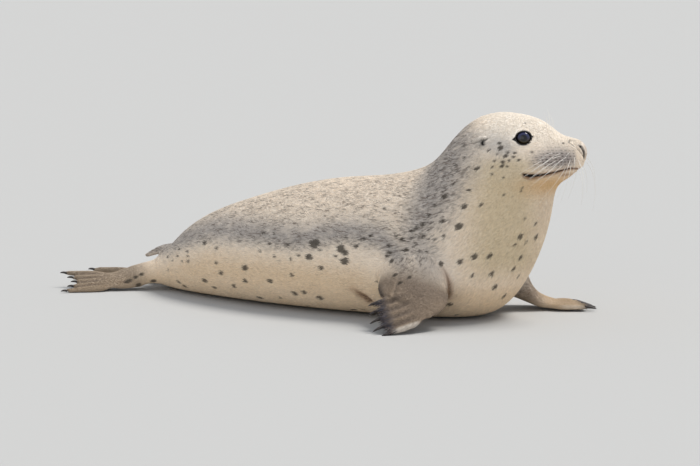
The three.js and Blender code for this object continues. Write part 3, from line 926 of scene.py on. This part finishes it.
def head_marks(s):
    """Dark eyes and lips, painted shade in the nostrils and ears, a painted highlight on each ear's fold,
    and the tones of chin, whisker pads and nose.
    """
    along, side, up = s.T
    chin = patch(s, "chin") * ease(60, 100, along)
    pad = clipped(patch(s, "pad") * ease(102, 122, along) * (1 - ease(192, 202, along)))
    nose = bell((along - 209) / 10, side / 19, (up - 328) / 15)
    slit, wing = nostril_distances(s)
    # Painted shade in each nostril's slit and in the crease round its wing.
    nostril = clipped(np.maximum(1.5 * bell(slit / 2.8), 0.8 * bell(wing / 1.6)))

    wide = mouth_width(along)
    gape = np.abs(mouth_offset(along, up))
    lips = (up < 305) * ease(98, 103, along)
    lip_line = lips * (1 - ease(wide * 0.75, wide * 1.25, gape))
    upper_lip = up > 284 + 0.1 * (along - 120)
    rust = lips * (1 - ease(wide, wide * 2 + 4, gape + 2 * upper_lip))
    rust = np.maximum(rust, patch(s, "under_lip"))

    by_ear = np.abs(side) > EAR_LEAST_SIDE
    fold = line_distance(s[:, [0, 2]], EAR_FOLD)
    # Painted shade in the slot under the ear's fold and in the ear's hole.
    slot = by_ear * under_line(along, up, EAR_FOLD) * bell((fold - 3.4) / 1.6)
    slot = slot * (0.25 * ease(12, 18, along) + 0.6 * ease(22, 28, along))
    hole = clipped(1.3 * bell(ear_hole_distance(along, up) / 4.3)) * by_ear
    dark = np.maximum.reduce([eye_shadow(s), lip_line, nostril, slot, hole])
    # The ear mask is a painted highlight along the ridge of the ear's fold.
    return {"chin": chin, "pad": pad, "nose": nose, "dark": dark, "rust": rust,
            "ear": 0.8 * by_ear * bell(fold / 2.0)}


# How brown each flipper is, and how dark the band across the ends of the fore digits; the right fore
# flipper's stronger brown and band are partly painted shade on the near hand.
FLIPPER_BROWN = {"fore_flipper_right": 1.0, "fore_flipper_left": 0.5,
                 "hind_flipper_right": 0.8, "hind_flipper_left": 0.8}
DIGIT_BAND = {"fore_flipper_right": 1.0, "fore_flipper_left": 0.5}


def paint_folds(mesh, marks):
    """Paints shade into the two folds at the near armpit, as dark, between rusty banks."""
    tree = mesh_tree(mesh)
    for pixels, width, _ in FOLDS[:2]:
        d, strength = fold_distance(places(mesh), cast_line(tree, pixels))
        marks["dark"] = np.maximum(marks["dark"], 0.85 * strength ** 2 * bell(d / (0.45 * width)))
        marks["rust"] = np.maximum(marks["rust"], 0.9 * np.sqrt(strength) * bell(d / (2.2 * width)))


def paint_flippers(place, owner, limb, marks):
    """Brown flippers; on the fore ones a grey upper arm, a dark band and a pale leading edge."""
    away = away_from_trunk(place)
    marks["limb"] = ease(0, 44, away) * limb * (owner != FLESH.index("tail"))
    marks["band"] = np.zeros(len(place))
    for name, _, mine, x, y in flippers(place, owner):
        marks["limb"] = marks["limb"] * np.where(mine, FLIPPER_BROWN[name], 1.0)
        if name not in DIGIT_BAND:
            continue
        start = 50 + 0.22 * y
        upper_arm = mine * (1 - ease(20, 75, away)) * ease(-45, 25, y)
        bare_arm = mine * ease(2, 40, away)
        leading = mine * ease(37, 44, y) * ease(-20, 20, x)
        marks["grey"] = np.maximum(marks["grey"] * (1 - 0.5 * bare_arm), 0.95 * upper_arm)
        marks["pepper"] = np.maximum(marks["pepper"] * (1 - 0.5 * bare_arm), 0.75 * upper_arm)
        marks["blotch"] = np.maximum(marks["blotch"] * (1 - 0.8 * bare_arm), 0.5 * upper_arm * (away > 2))
        marks["band"] = np.where(mine, ease(start - 9, start + 7, x) * DIGIT_BAND[name], marks["band"])
        marks["pale"] = np.maximum(marks["pale"], 0.6 * leading)


def paint(mesh, s, owner, limb, lie, spots, sizes):
    """Masks of every marking, one value for each vertex of the skin."""
    place = places(mesh)
    marks = {**body_marks(s), **head_marks(s)}
    # The painted highlight on each ear's fold joins the pale mask.
    marks["pale"] = np.maximum(marks["pale"], marks.pop("ear"))
    paint_folds(mesh, marks)
    paint_flippers(place, owner, limb, marks)
    marks["spot"] = spot_field(place, lie, spots, sizes)
    marks["groove"] = digit_grooves(place, owner)
    return marks


# ---- materials ----
def rgb(red, green, blue):
    """Screen values from 0 to 255 as linear light."""
    c = np.array([red, green, blue]) / 255
    return tuple(np.where(c <= 0.04045, c / 12.92, ((c + 0.055) / 1.055) ** 2.4))


CREAM = rgb(248, 232, 212)
TAN = rgb(234, 210, 178)
# The grey is dark enough to carry the painted shadow on the shoulders as well as the grey of the coat.
GREY = rgb(160, 156, 156)
PEPPER = rgb(98, 80, 66)
BLOTCH = rgb(92, 84, 78)
BROWN = rgb(120, 103, 88)
STREAK = rgb(92, 80, 72)
# A greenish tan, dark enough to paint shade on the throat and chest.
OLIVE_AND_SHADE = rgb(206, 188, 150)
OCHRE = rgb(222, 184, 130)
VIOLET = rgb(138, 130, 134)
RUST = rgb(138, 88, 46)
NOSE = rgb(122, 102, 92)
SPOT = rgb(68, 60, 50)
BAND = rgb(40, 40, 54)
BLACK = rgb(14, 10, 9)
PALE = rgb(250, 242, 230)


class Graph:
    """Adds nodes to a tree and links them."""

    def __init__(self, tree):
        self.tree = tree

    def add(self, kind, inputs=None, **settings):
        node = self.tree.nodes.new("ShaderNode" + kind)
        for key, value in settings.items():
            setattr(node, key, value)
        return self.fill(node, inputs or {})

    def fill(self, node, inputs):
        for key, value in inputs.items():
            self.feed(node.inputs[key], value)
        return node

    def feed(self, socket, value):
        if isinstance(value, bpy.types.NodeSocket):
            self.tree.links.new(value, socket)
        elif isinstance(value, tuple) and socket.type == "RGBA":
            socket.default_value = (*value[:3], 1)
        else:
            socket.default_value = value

    def attribute(self, name, output="Fac"):
        return self.add("Attribute", attribute_name=name).outputs[output]

    def math(self, operation, *values):
        return self.add("Math", dict(enumerate(values)), operation=operation).outputs[0]

    def product(self, first, *others):
        for value in others:
            first = self.math("MULTIPLY", first, value)
        return first

    def mix(self, share, a, b, blend="MIX"):
        return self.add("Mix", {0: share, 6: a, 7: b}, data_type="RGBA", blend_type=blend).outputs[2]

    def smooth(self, value, low, high):
        node = self.add("MapRange", {"Value": value, "From Min": low, "From Max": high},
                        interpolation_type="SMOOTHSTEP")
        return node.outputs[0]

    def noise(self, place, scale, stretch=(1, 1, 1), detail=3.0, roughness=0.55):
        mapped = self.add("Mapping", {"Vector": place, "Scale": stretch}).outputs[0]
        node = self.add("TexNoise", {"Vector": mapped, "Scale": scale, "Detail": detail,
                                     "Roughness": roughness})
        return node.outputs["Fac"]


MASKS = ("spot", "grey", "pepper", "blotch", "warm", "olive_and_shade", "limb", "chin", "pad", "nose", "dark", "rust",
         "pale", "band", "groove", "tone")


WHISKER_GAP = 7.6                 # between the dots of a row, and between the rows, in mm
ROW_GAP = 5.4


def whisker_dots(g, hair):
    """Rows of dots on the whisker pads, one at the root of each whisker."""
    along, _, up = g.add("SeparateXYZ", {0: hair}).outputs
    row = g.math("SINE", g.product(up, math.tau / (2 * ROW_GAP * MM)))
    wander = g.product(g.noise(hair, 60, detail=1), 5.0)
    slant = g.math("MULTIPLY_ADD", up, 160.0, wander)
    column = g.math("SINE", g.math("MULTIPLY_ADD", along, math.tau / (2 * WHISKER_GAP * MM), slant))
    return g.smooth(g.product(g.math("ABSOLUTE", row), g.math("ABSOLUTE", column)), 0.72, 0.86)


def markings_group():
    """The colour of the coat, worked out from the masks and the hair's own coordinates."""
    tree = bpy.data.node_groups.new("markings", "ShaderNodeTree")
    for name, kind in (("Color", "NodeSocketColor"), ("Height", "NodeSocketFloat")):
        tree.interface.new_socket(name, in_out="OUTPUT", socket_type=kind)
    g = Graph(tree)
    hair = g.attribute("hair", "Vector")
    mask = {m: g.attribute(m) for m in MASKS}
    broad = g.noise(hair, 20, (0.6, 1, 1))
    patchy = g.noise(hair, 90, (0.55, 1, 1), 4)
    clump = g.noise(hair, 170, (0.85, 1, 1), 2)
    fleck = g.noise(hair, 420, (0.5, 1, 1), 2)
    streak = g.noise(hair, 1000, (0.12, 1, 1), 2)

    peppered = g.product(g.smooth(fleck, 0.5, 0.6), g.smooth(patchy, 0.34, 0.6))
    thin_flecks = g.product(g.smooth(fleck, 0.66, 0.7), g.smooth(broad, 0.45, 0.7))
    blotched = g.smooth(g.math("MULTIPLY_ADD", fleck, 0.25, clump), 0.66, 0.76)
    brown = g.mix(g.product(g.smooth(streak, 0.4, 0.75), 0.5), BROWN, STREAK)
    brown = g.mix(g.product(g.smooth(fleck, 0.56, 0.64), 0.45), brown, STREAK)
    ragged = g.math("MULTIPLY_ADD", g.math("SUBTRACT", streak, 0.5), 2.6, mask["spot"])
    ragged = g.math("MULTIPLY_ADD", g.math("SUBTRACT", fleck, 0.5), 4.0, ragged)
    layers = [
        (g.product(mask["warm"], g.smooth(broad, -0.3, 0.6)), TAN),
        (g.product(mask["olive_and_shade"], 0.6), OLIVE_AND_SHADE),
        (g.product(mask["grey"], g.smooth(patchy, -0.1, 0.55), 0.7), GREY),
        (g.product(peppered, g.product(mask["pepper"], 0.85)), PEPPER),
        (g.product(thin_flecks, 0.3), PEPPER),
        (g.product(blotched, mask["blotch"], 0.7), BLOTCH),
        (g.product(mask["limb"], 0.85), brown),
        # Painted shade in the hollows between the digits.
        (g.product(mask["groove"], g.product(mask["limb"], 0.6)), STREAK),
        (g.product(mask["chin"], 0.85), OCHRE),
        (g.product(mask["pad"], 0.7), VIOLET),
        (g.product(mask["pad"], whisker_dots(g, hair), 0.9), SPOT),
        (g.product(mask["nose"], 0.8), NOSE),
        (g.product(mask["pale"], 0.8), PALE),
        (g.product(mask["rust"], 0.75), RUST),
        (g.product(g.smooth(ragged, -1.3, 1.6), 0.86), SPOT),
        (mask["band"], g.mix(g.smooth(streak, 0.35, 0.7), BAND, STREAK)),
        (mask["dark"], BLACK),
    ]
    colour = CREAM
    for share, tint in layers:
        colour = g.mix(share, colour, tint)
    lift = g.math("MULTIPLY_ADD", mask["tone"], 0.09, g.math("MULTIPLY_ADD", streak, 0.24, 0.88))
    shade = g.add("CombineColor", {0: lift, 1: lift, 2: lift}).outputs[0]
    out = tree.nodes.new("NodeGroupOutput")
    g.fill(out, {"Color": g.mix(1.0, colour, shade, "MULTIPLY"), "Height": streak})
    return tree


def new_material(name):
    """A material, its graph and its shader."""
    material = bpy.data.materials.new(name)
    material.use_nodes = True
    return material, Graph(material.node_tree), material.node_tree.nodes["Principled BSDF"]


def bumped(g, shader, height, strength, distance):
    node = g.add("Bump", {"Height": height, "Strength": strength, "Distance": distance})
    g.feed(shader.inputs["Normal"], node.outputs[0])


def coat_material(name, group, bump=0.0):
    """The markings on dry hair, with the finest of it as bump."""
    material, g, shader = new_material(name)
    marks = g.add("Group", node_tree=group)
    g.fill(shader, {"Base Color": marks.outputs["Color"], "Roughness": 0.75, "Specular IOR Level": 0.35,
                    "Sheen Weight": 0.05, "Sheen Roughness": 0.5})
    if bump:
        bumped(g, shader, marks.outputs["Height"], bump, 0.0006)
    return material


# ---- coat ----
COAT_PIECES = 8
TUFTS = 300000
# Lengths in mm of the hair on each part; it hangs past the ends of the fore digits.
HAIR = {"trunk": 7.6, "head": 4.4, "muzzle": 2.4, "hand": 3.8, "digits": 12.0}


# A tuft's half-width and the height of its crest, each as (share of its length, extra metres); how far
# along it the crest lies; how many metres its root is sunk; the spread of its length; and the spread of
# how far its tip stands off, as a share of its length.
TUFT_WIDTH = (0.075, 0.00022)
TUFT_CREST = (0.035, 0.00018)
CREST_AT = 0.36
TUFT_SINK = 0.00035
TUFT_LENGTHS = (0.75, 1.2)
TUFT_LIFTS = (0.05, 0.13)
COAT_OVER_FLOOR = 0.0002          # in metres


def hair_length(s, limb, band):
    along, _, up = s.T
    raised = ease(215, 260, up)
    length = between(HAIR["trunk"], HAIR["head"], ease(0, 80, along) * raised)
    length = between(length, HAIR["muzzle"], ease(120, 185, along) * raised)
    length = between(length, HAIR["hand"], limb)
    return between(length, HAIR["digits"], band)


def growth_share(s, n, masks):
    """1 where hair grows and 0 on eyes, nose, lips and what lies pressed to the floor."""
    open_skin = (1 - ease(0.4, 0.75, masks["dark"])) * (1 - ease(0.35, 0.6, masks["nose"]))
    pressed = (s[:, 2] < 4) & (n[:, 2] < -0.6)
    return open_skin * ~pressed


def corner_values(mesh):
    """Triangles of a mesh: their vertices and their places on the unwrap."""
    mesh.calc_loop_triangles()
    vertex = read(mesh.loop_triangles, "vertices", 3, np.int32)
    loop = read(mesh.loop_triangles, "loops", 3, np.int32)
    return vertex, read(mesh.uv_layers["OFBake"].uv, "vector", 2)[loop]


def plant(mesh, s, n, lie, length, growth, masks, rng, count):
    """Roots, directions, sizes and markings of the tufts, spread by area over the skin."""
    triangles, uv = corner_values(mesh)
    place = places(mesh)
    a, b, c = (place[triangles[:, i]] for i in range(3))
    area = np.linalg.norm(np.cross(b - a, c - a), axis=1) / 2
    size = length[triangles].mean(1)
    weight = area * growth[triangles].mean(1) / (size * (size + 3))
    chosen = rng.choice(len(triangles), count, p=weight / weight.sum())
    first, second = rng.random(count), rng.random(count)
    flip = first + second > 1
    first, second = np.where(flip, 1 - first, first), np.where(flip, 1 - second, second)
    shares = np.stack([1 - first - second, first, second], 1)
    corners = triangles[chosen]

    def blend(values):
        spread = values[corners]
        return np.sum(spread * shares.reshape(shares.shape + (1,) * (spread.ndim - 2)), 1)

    roots = {"place": blend(place), "normal": unit(blend(n)), "lie": unit(blend(lie)),
             "length": blend(length), "uv": np.sum(uv[chosen] * shares[:, :, None], 1),
             "along": blend(s[:, 0])}
    return roots, {k: blend(v) for k, v in masks.items()}


def tuft_places(roots, rng):
    """Each tuft is a thin closed blade: two root corners, a crest and a tip."""
    n = roots["normal"]
    lie = roots["lie"]
    place = roots["place"]
    count = len(place)
    swirl = 0.16 * np.sin(place @ (31, 17, 23)) + 0.12 * np.sin(place @ (-53, 71, 37))
    swirl = (swirl + rng.normal(0, 0.13, count))[:, None]
    run = square_to(lie * np.cos(swirl) + np.cross(n, lie) * np.sin(swirl), n)
    side = np.cross(n, run)
    length = (roots["length"] * rng.uniform(*TUFT_LENGTHS, count) * MM)[:, None]
    width = TUFT_WIDTH[0] * length + TUFT_WIDTH[1]
    crest = TUFT_CREST[0] * length + TUFT_CREST[1]
    lift = length * rng.uniform(*TUFT_LIFTS, count)[:, None]
    left = place - side * width - n * TUFT_SINK
    right = place + side * width - n * TUFT_SINK
    top = place + run * length * CREST_AT + n * crest
    tip = place + run * length + n * lift
    return np.stack([left, right, top, tip], 1)


TUFT_FACES = np.array([[0, 2, 1], [0, 3, 2], [1, 2, 3], [0, 1, 3]])
# Where a tuft's corners lie on the unwrap, counted from its root in shares of the map's width.
TUFT_ON_MAP = 0.0015 * np.array([[-1, -1], [1, -1], [0, 0.2], [0, 1]])


def tuft_mesh(name, corners, uv, hair, masks):
    count = len(corners)
    co = corners.reshape(-1, 3)
    co[:, 2] = np.maximum(co[:, 2], COAT_OVER_FLOOR)
    faces = (np.arange(count)[:, None, None] * 4 + TUFT_FACES).reshape(-1, 3)
    mesh = bpy.data.meshes.new(name)
    mesh.from_pydata(co.tolist(), [], faces.tolist())
    layer = mesh.uv_layers.new(name="OFBake")
    spots = (uv[:, None] + TUFT_ON_MAP)[:, TUFT_FACES].reshape(-1, 2)
    layer.uv.foreach_set("vector", spots.astype(np.float32).ravel())
    store(mesh, "hair", np.repeat(hair, 4, 0))
    for key, values in masks.items():
        store(mesh, key, np.repeat(values, 4))
    return mesh


def store(mesh, name, values):
    """Keeps one number or one vector for each vertex of a mesh."""
    kind, field = ("FLOAT_VECTOR", "vector") if values.ndim == 2 else ("FLOAT", "value")
    layer = mesh.attributes.new(name, kind, "POINT")
    layer.data.foreach_set(field, values.astype(np.float32).ravel())


def make_coat(mesh, s, n, lie, limb, masks, spots, sizes, material, rng):
    length = hair_length(s, limb, masks["band"])
    count = TUFTS
    roots, marks = plant(mesh, s, n, lie, length, growth_share(s, n, masks), masks, rng, count)
    corners = tuft_places(roots, rng)
    marks["tone"] = rng.normal(0, 1, count)
    marks["spot"] = spot_field(roots["place"], roots["lie"], spots, sizes)
    hair = marks.pop("hair")
    order = np.argsort(roots["along"])
    for i, part in enumerate(np.array_split(order, COAT_PIECES)):
        name = f"coat_{i + 1}"
        piece = tuft_mesh(name, corners[part], roots["uv"][part], hair[part],
                          {k: v[part] for k, v in marks.items()})
        finish_piece(name, piece, material, "coat_pale", smooth=False)


# ---- eyes, claws and whiskers ----
def eye_material():
    material, g, shader = new_material("wet_eye")
    ring = g.attribute("ring")
    place = g.attribute("iris", "Vector")
    # The blue-violet of the upper half of the iris is a painted reflection of the sky; the dark brown of
    # the lower half is the iris's own colour.
    upper = g.smooth(g.add("SeparateXYZ", {0: place}).outputs[2], -0.005, 0.008)
    fibres = g.noise(place, 900, detail=2)
    deep = g.mix(upper, rgb(34, 28, 14), rgb(24, 25, 50))
    bright = g.mix(upper, rgb(62, 52, 28), rgb(50, 54, 98))
    colour = g.mix(g.smooth(ring, 0.3, 0.42), rgb(5, 5, 7), g.mix(fibres, deep, bright))
    colour = g.mix(g.smooth(ring, 0.62, 0.8), colour, rgb(8, 6, 6))
    g.fill(shader, {"Base Color": colour, "Roughness": 0.3, "Specular IOR Level": 0.1,
                    "Coat Weight": 1.0, "Coat Roughness": 0.02})
    return material


# The eyeball: how far it stays clear of its socket, how far the cornea stands out, and the half-angle
# in degrees at which ring is 1.
EYEBALL = {"clear": 0.3, "cornea": 0.9, "ring_angle": 58}


def make_eye(side, material):
    """A smooth ball with the cornea standing out where it looks."""
    centre, axis, _, _ = eye_frame(HANDS[side])
    bm = bmesh.new()
    bmesh.ops.create_icosphere(bm, subdivisions=5, radius=1)
    mesh = mesh_of(bm, f"eyeball_{side}")
    co = places(mesh)
    ring = np.arccos(np.clip(co @ axis, -1, 1)) / math.radians(EYEBALL["ring_angle"])
    cornea = EYEBALL["cornea"] * (1 - ease(0.45, 0.95, ring))
    put(mesh, packed(centre + co * (EYE["radius"] - EYEBALL["clear"] + cornea)[:, None]))
    store(mesh, "ring", ring)
    store(mesh, "iris", co * EYE["radius"] * MM)
    finish_piece(f"eyeball_{side}", mesh, material, "eye_wet", f"eye_{side}")


def finish_piece(name, mesh, material, slot, *nodes, smooth=True):
    """Makes a mesh a piece of the part, in place of the CAD nodes named."""
    mesh.polygons.foreach_set("use_smooth", np.full(len(mesh.polygons), smooth))
    mesh.materials.append(material)
    piece = linked(name, mesh)
    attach(piece, "root")
    if nodes:
        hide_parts(*nodes)
    return piece


def horn_material():
    material, g, shader = new_material("claw_horn")
    grain = g.noise(g.add("TexCoord").outputs["Object"], 700, (1, 1, 0.4), 3)
    g.feed(shader.inputs["Base Color"], g.mix(grain, rgb(24, 22, 26), rgb(74, 64, 58)))
    g.feed(shader.inputs["Roughness"], g.math("MULTIPLY_ADD", grain, 0.3, 0.25))
    bumped(g, shader, grain, 0.4, 0.0004)
    return material


TUBES_OVER_FLOOR = 0.0003         # in metres


def rings_mesh(name, paths, sides):
    """One mesh of tapered tubes; a path lists (place, radius) in metres from root to tip."""
    corners, faces = [], []
    angle = (np.arange(sides) / sides * 2 * math.pi)[None, :, None]
    for path in paths:
        place = np.array([p for p, _ in path])
        radius = np.array([r for _, r in path])
        run = unit(np.gradient(place, axis=0))
        across = unit(np.cross(run, unit((0.31, 0.17, 0.93))))
        upright = np.cross(run, across)
        loop = np.cos(angle) * across[:, None] + np.sin(angle) * upright[:, None]
        rows = len(corners) + np.arange(len(path) * sides).reshape(-1, sides)
        corners += (place[:, None] + loop * radius[:, None, None]).reshape(-1, 3).tolist()
        for low, high in zip(rows[:-1].tolist(), rows[1:].tolist()):
            faces += zip(low, low[1:] + low[:1], high[1:] + high[:1], high)
        faces += [tuple(rows[0][::-1].tolist()), tuple(rows[-1].tolist())]
    corners = np.array(corners)
    corners[:, 2] = np.maximum(corners[:, 2], TUBES_OVER_FLOOR)
    mesh = bpy.data.meshes.new(name)
    mesh.from_pydata(corners.tolist(), [], faces)
    return mesh


def claw_path(root, tip, radius, bow, steps=9):
    """A horn that narrows to its point and bows upwards between its ends."""
    t = np.linspace(0, 1, steps)
    line = root + t[:, None] * (tip - root) + np.outer(4 * t * (1 - t), (0, 0, bow))
    return list(zip(line, radius * (1 - t ** 1.8) ** 0.6 * 0.95 + radius * 0.06))


FORE_CLAW = {"radius": 2.9, "bow": 0.9}


def make_claws(material):
    for node in CLAWS:
        root, tip, _ = claw_line(node)
        path = claw_path(root, tip, FORE_CLAW["radius"] * MM, FORE_CLAW["bow"] * MM)
        mesh = rings_mesh(node + "_horn", [path], 14)
        finish_piece(node + "_horn", mesh, material, "claw_horn", node)


HIND_DIGITS = (88, 74, 66, 72, 85)      # lengths in mm from the knuckles
HIND_CLAW = {"length": 13.0, "radius": 2.4, "bow": 1.2}


def make_hind_claws(material):
    for side in HANDS:
        plan = LIMBS[f"hind_flipper_{side}"]
        run, edge = hand_axes(plan)
        paths = []
        for i, (length, fan) in enumerate(zip(HIND_DIGITS, plan["fan"])):
            way = unit(run + edge * fan)
            start = np.array(plan["knuckle"]) + edge * (1 - i / 2) * plan["spread"]
            tip = shifted(start + way * (length + HIND_CLAW["length"] * 0.55))
            root = tip - way * HIND_CLAW["length"] * MM
            paths.append(claw_path(root, tip, HIND_CLAW["radius"] * MM, HIND_CLAW["bow"] * MM))
        mesh = rings_mesh(f"hind_claws_{side}", paths, 10)
        finish_piece(f"hind_claws_{side}", mesh, material, "claw_horn")


def whisker_material():
    material, g, shader = new_material("whisker")
    shade = g.noise(g.add("TexCoord").outputs["Object"], 60)
    g.fill(shader, {"Base Color": g.mix(shade, rgb(236, 228, 214), rgb(255, 253, 249)), "Roughness": 0.35})
    return material


# Rows of whiskers on a pad: height, where the row starts and ends along the muzzle, how many, and the
# longest hair's length.
WHISKER_ROWS = [(322, 152, 186, 3, 40), (315, 142, 194, 5, 56), (308.5, 136, 200, 6, 74),
                (302, 134, 202, 6, 84), (296, 140, 198, 4, 70)]
WHISKER_RADIUS = 0.42
BROW_RADIUS = 0.34
BROW_WHISKERS = [(138, 17, 31), (143, 20, 26), (147, 16, 20), (134, 21, 15)]   # along, side, length


def whisker_path(root, out, length, sweep, drop, bow, radius):
    """A tapered hair that leaves the skin along out and bends back and down to its end."""
    middle = out * 0.5 + np.array([-sweep * 0.4, 0, -drop * 0.25 + bow])
    end = out * 0.42 + np.array([-sweep, 0, -drop])
    t = np.linspace(0, 1, 12)[:, None]
    line = root + length * (2 * t * (1 - t) * middle + t ** 2 * end)
    return list(zip(packed(line), MM * (radius * (1 - 0.75 * t[:, 0]))))


def skin_hit(tree, start, way):
    """The place and the normal where a line meets the skin, in the straight frame."""
    place, normal, _, _ = tree.ray_cast(Vector(start), Vector(way))
    return np.array(place), np.array(normal)


def pad_whiskers(tree, hand, rng):
    paths = []
    for up, start, end, count, longest in WHISKER_ROWS:
        for along in np.linspace(start, end, count):
            at = (along + rng.normal(0, 1), hand * 90, up + rng.normal(0, 0.8))
            place, out = skin_hit(tree, at, (0, -hand, 0))
            forward = ease(168, 198, along)
            length = longest * rng.uniform(0.75, 1.08)
            sweep = 0.85 - 0.72 * forward + rng.normal(0, 0.06)
            drop = 0.5 + 0.45 * forward + rng.normal(0, 0.05)
            paths.append(whisker_path(place - out, out, length, sweep, drop, 0.0, WHISKER_RADIUS))
    return paths


def brow_whiskers(tree, hand):
    paths = []
    for along, lateral, length in BROW_WHISKERS:
        place, normal = skin_hit(tree, (along, hand * lateral, 420), (0, 0, -1))
        out = unit(normal * (0.6, 0.5, 1.0))
        paths.append(whisker_path(place - out, out, length, 0.3, -0.62, 0.1, BROW_RADIUS))
    return paths


def make_whiskers(mesh, material, rng):
    s, _ = straight(places(mesh))
    tree = mesh_tree(mesh, s)
    for side, hand in HANDS.items():
        paths = pad_whiskers(tree, hand, rng) + brow_whiskers(tree, hand)
        finish_piece(f"whiskers_{side}", rings_mesh(f"whiskers_{side}", paths, 6), material, "whisker")


def unwrap(obj):
    """Lays the skin out flat as the map that the coat shares."""
    obj.data.uv_layers.new(name="OFBake")
    bpy.context.view_layer.objects.active = obj
    obj.select_set(True)
    bpy.ops.object.mode_set(mode="EDIT")
    bpy.ops.mesh.select_all(action="SELECT")
    bpy.ops.uv.smart_project(angle_limit=math.radians(66), island_margin=0.004)
    bpy.ops.object.mode_set(mode="OBJECT")
    obj.select_set(False)


# ---- studio ----
def add_sun(name, toward, energy, degrees, colour):
    """A sun that stands where toward points, spread over some degrees of the sky."""
    light = bpy.data.lights.new(name, "SUN")
    light.energy = energy
    light.angle = math.radians(degrees)
    light.color = colour
    turn_towards(linked(name, light), -unit(toward))


FLOOR_COLOUR = (0.48, 0.48, 0.475)
FLOOR_HALF = 60                   # half the width of the floor, in metres
SKY = {"Color": (0.86, 0.92, 1.0), "Strength": 0.64}


def make_studio():
    upright = np.array([0, 0, 1.0])
    add_sun("key", RIGHT * 0.5 + upright - BACK * 0.22, 2.8, 24, (1.0, 0.955, 0.89))
    add_sun("fill", BACK * (1, 1, 0) - RIGHT * 0.35 + upright * 0.05, 0.45, 60, (1.0, 0.96, 0.9))
    world = bpy.data.worlds.new("studio")
    bpy.context.scene.world = world
    world.use_nodes = True
    Graph(world.node_tree).fill(world.node_tree.nodes["Background"], SKY)
    bm = bmesh.new()
    bmesh.ops.create_grid(bm, x_segments=2, y_segments=2, size=FLOOR_HALF)
    mesh = mesh_of(bm, "floor")
    material, g, shader = new_material("floor")
    g.fill(shader, {"Base Color": FLOOR_COLOUR, "Roughness": 0.9})
    mesh.materials.append(material)
    floor = linked("floor", mesh)
    bpy.context.scene.view_settings.view_transform = "Standard"


make_camera()
make_studio()
rng = np.random.default_rng(11)
skin_mesh, skin_owner, skin_limb = build_skin()
skin_places = places(skin_mesh)
skin_s, skin_heading = straight(skin_places)
skin_n = normals(skin_mesh)
skin_lie = coat_lie(skin_s, skin_heading, skin_n, skin_places, skin_owner)
spot_places, spot_sizes = spot_list(skin_mesh, rng)
skin_masks = paint(skin_mesh, skin_s, skin_owner, skin_limb, skin_lie, spot_places, spot_sizes)
skin_masks["hair"] = hair_places(skin_s, skin_places, skin_owner)
for mask_name, mask_values in skin_masks.items():
    store(skin_mesh, mask_name, mask_values)
store(skin_mesh, "tone", np.zeros(len(skin_s)))
markings = markings_group()
skin = finish_piece("skin", skin_mesh, coat_material("skin", markings, bump=0.5), "coat_pale", *FLESH)
unwrap(skin)
make_coat(skin_mesh, skin_s, skin_n, skin_lie, skin_limb, skin_masks, spot_places, spot_sizes,
          coat_material("coat", markings), rng)
wet = eye_material()
horn = horn_material()
for eye_side in HANDS:
    make_eye(eye_side, wet)
make_claws(horn)
make_hind_claws(horn)
make_whiskers(skin_mesh, whisker_material(), rng)
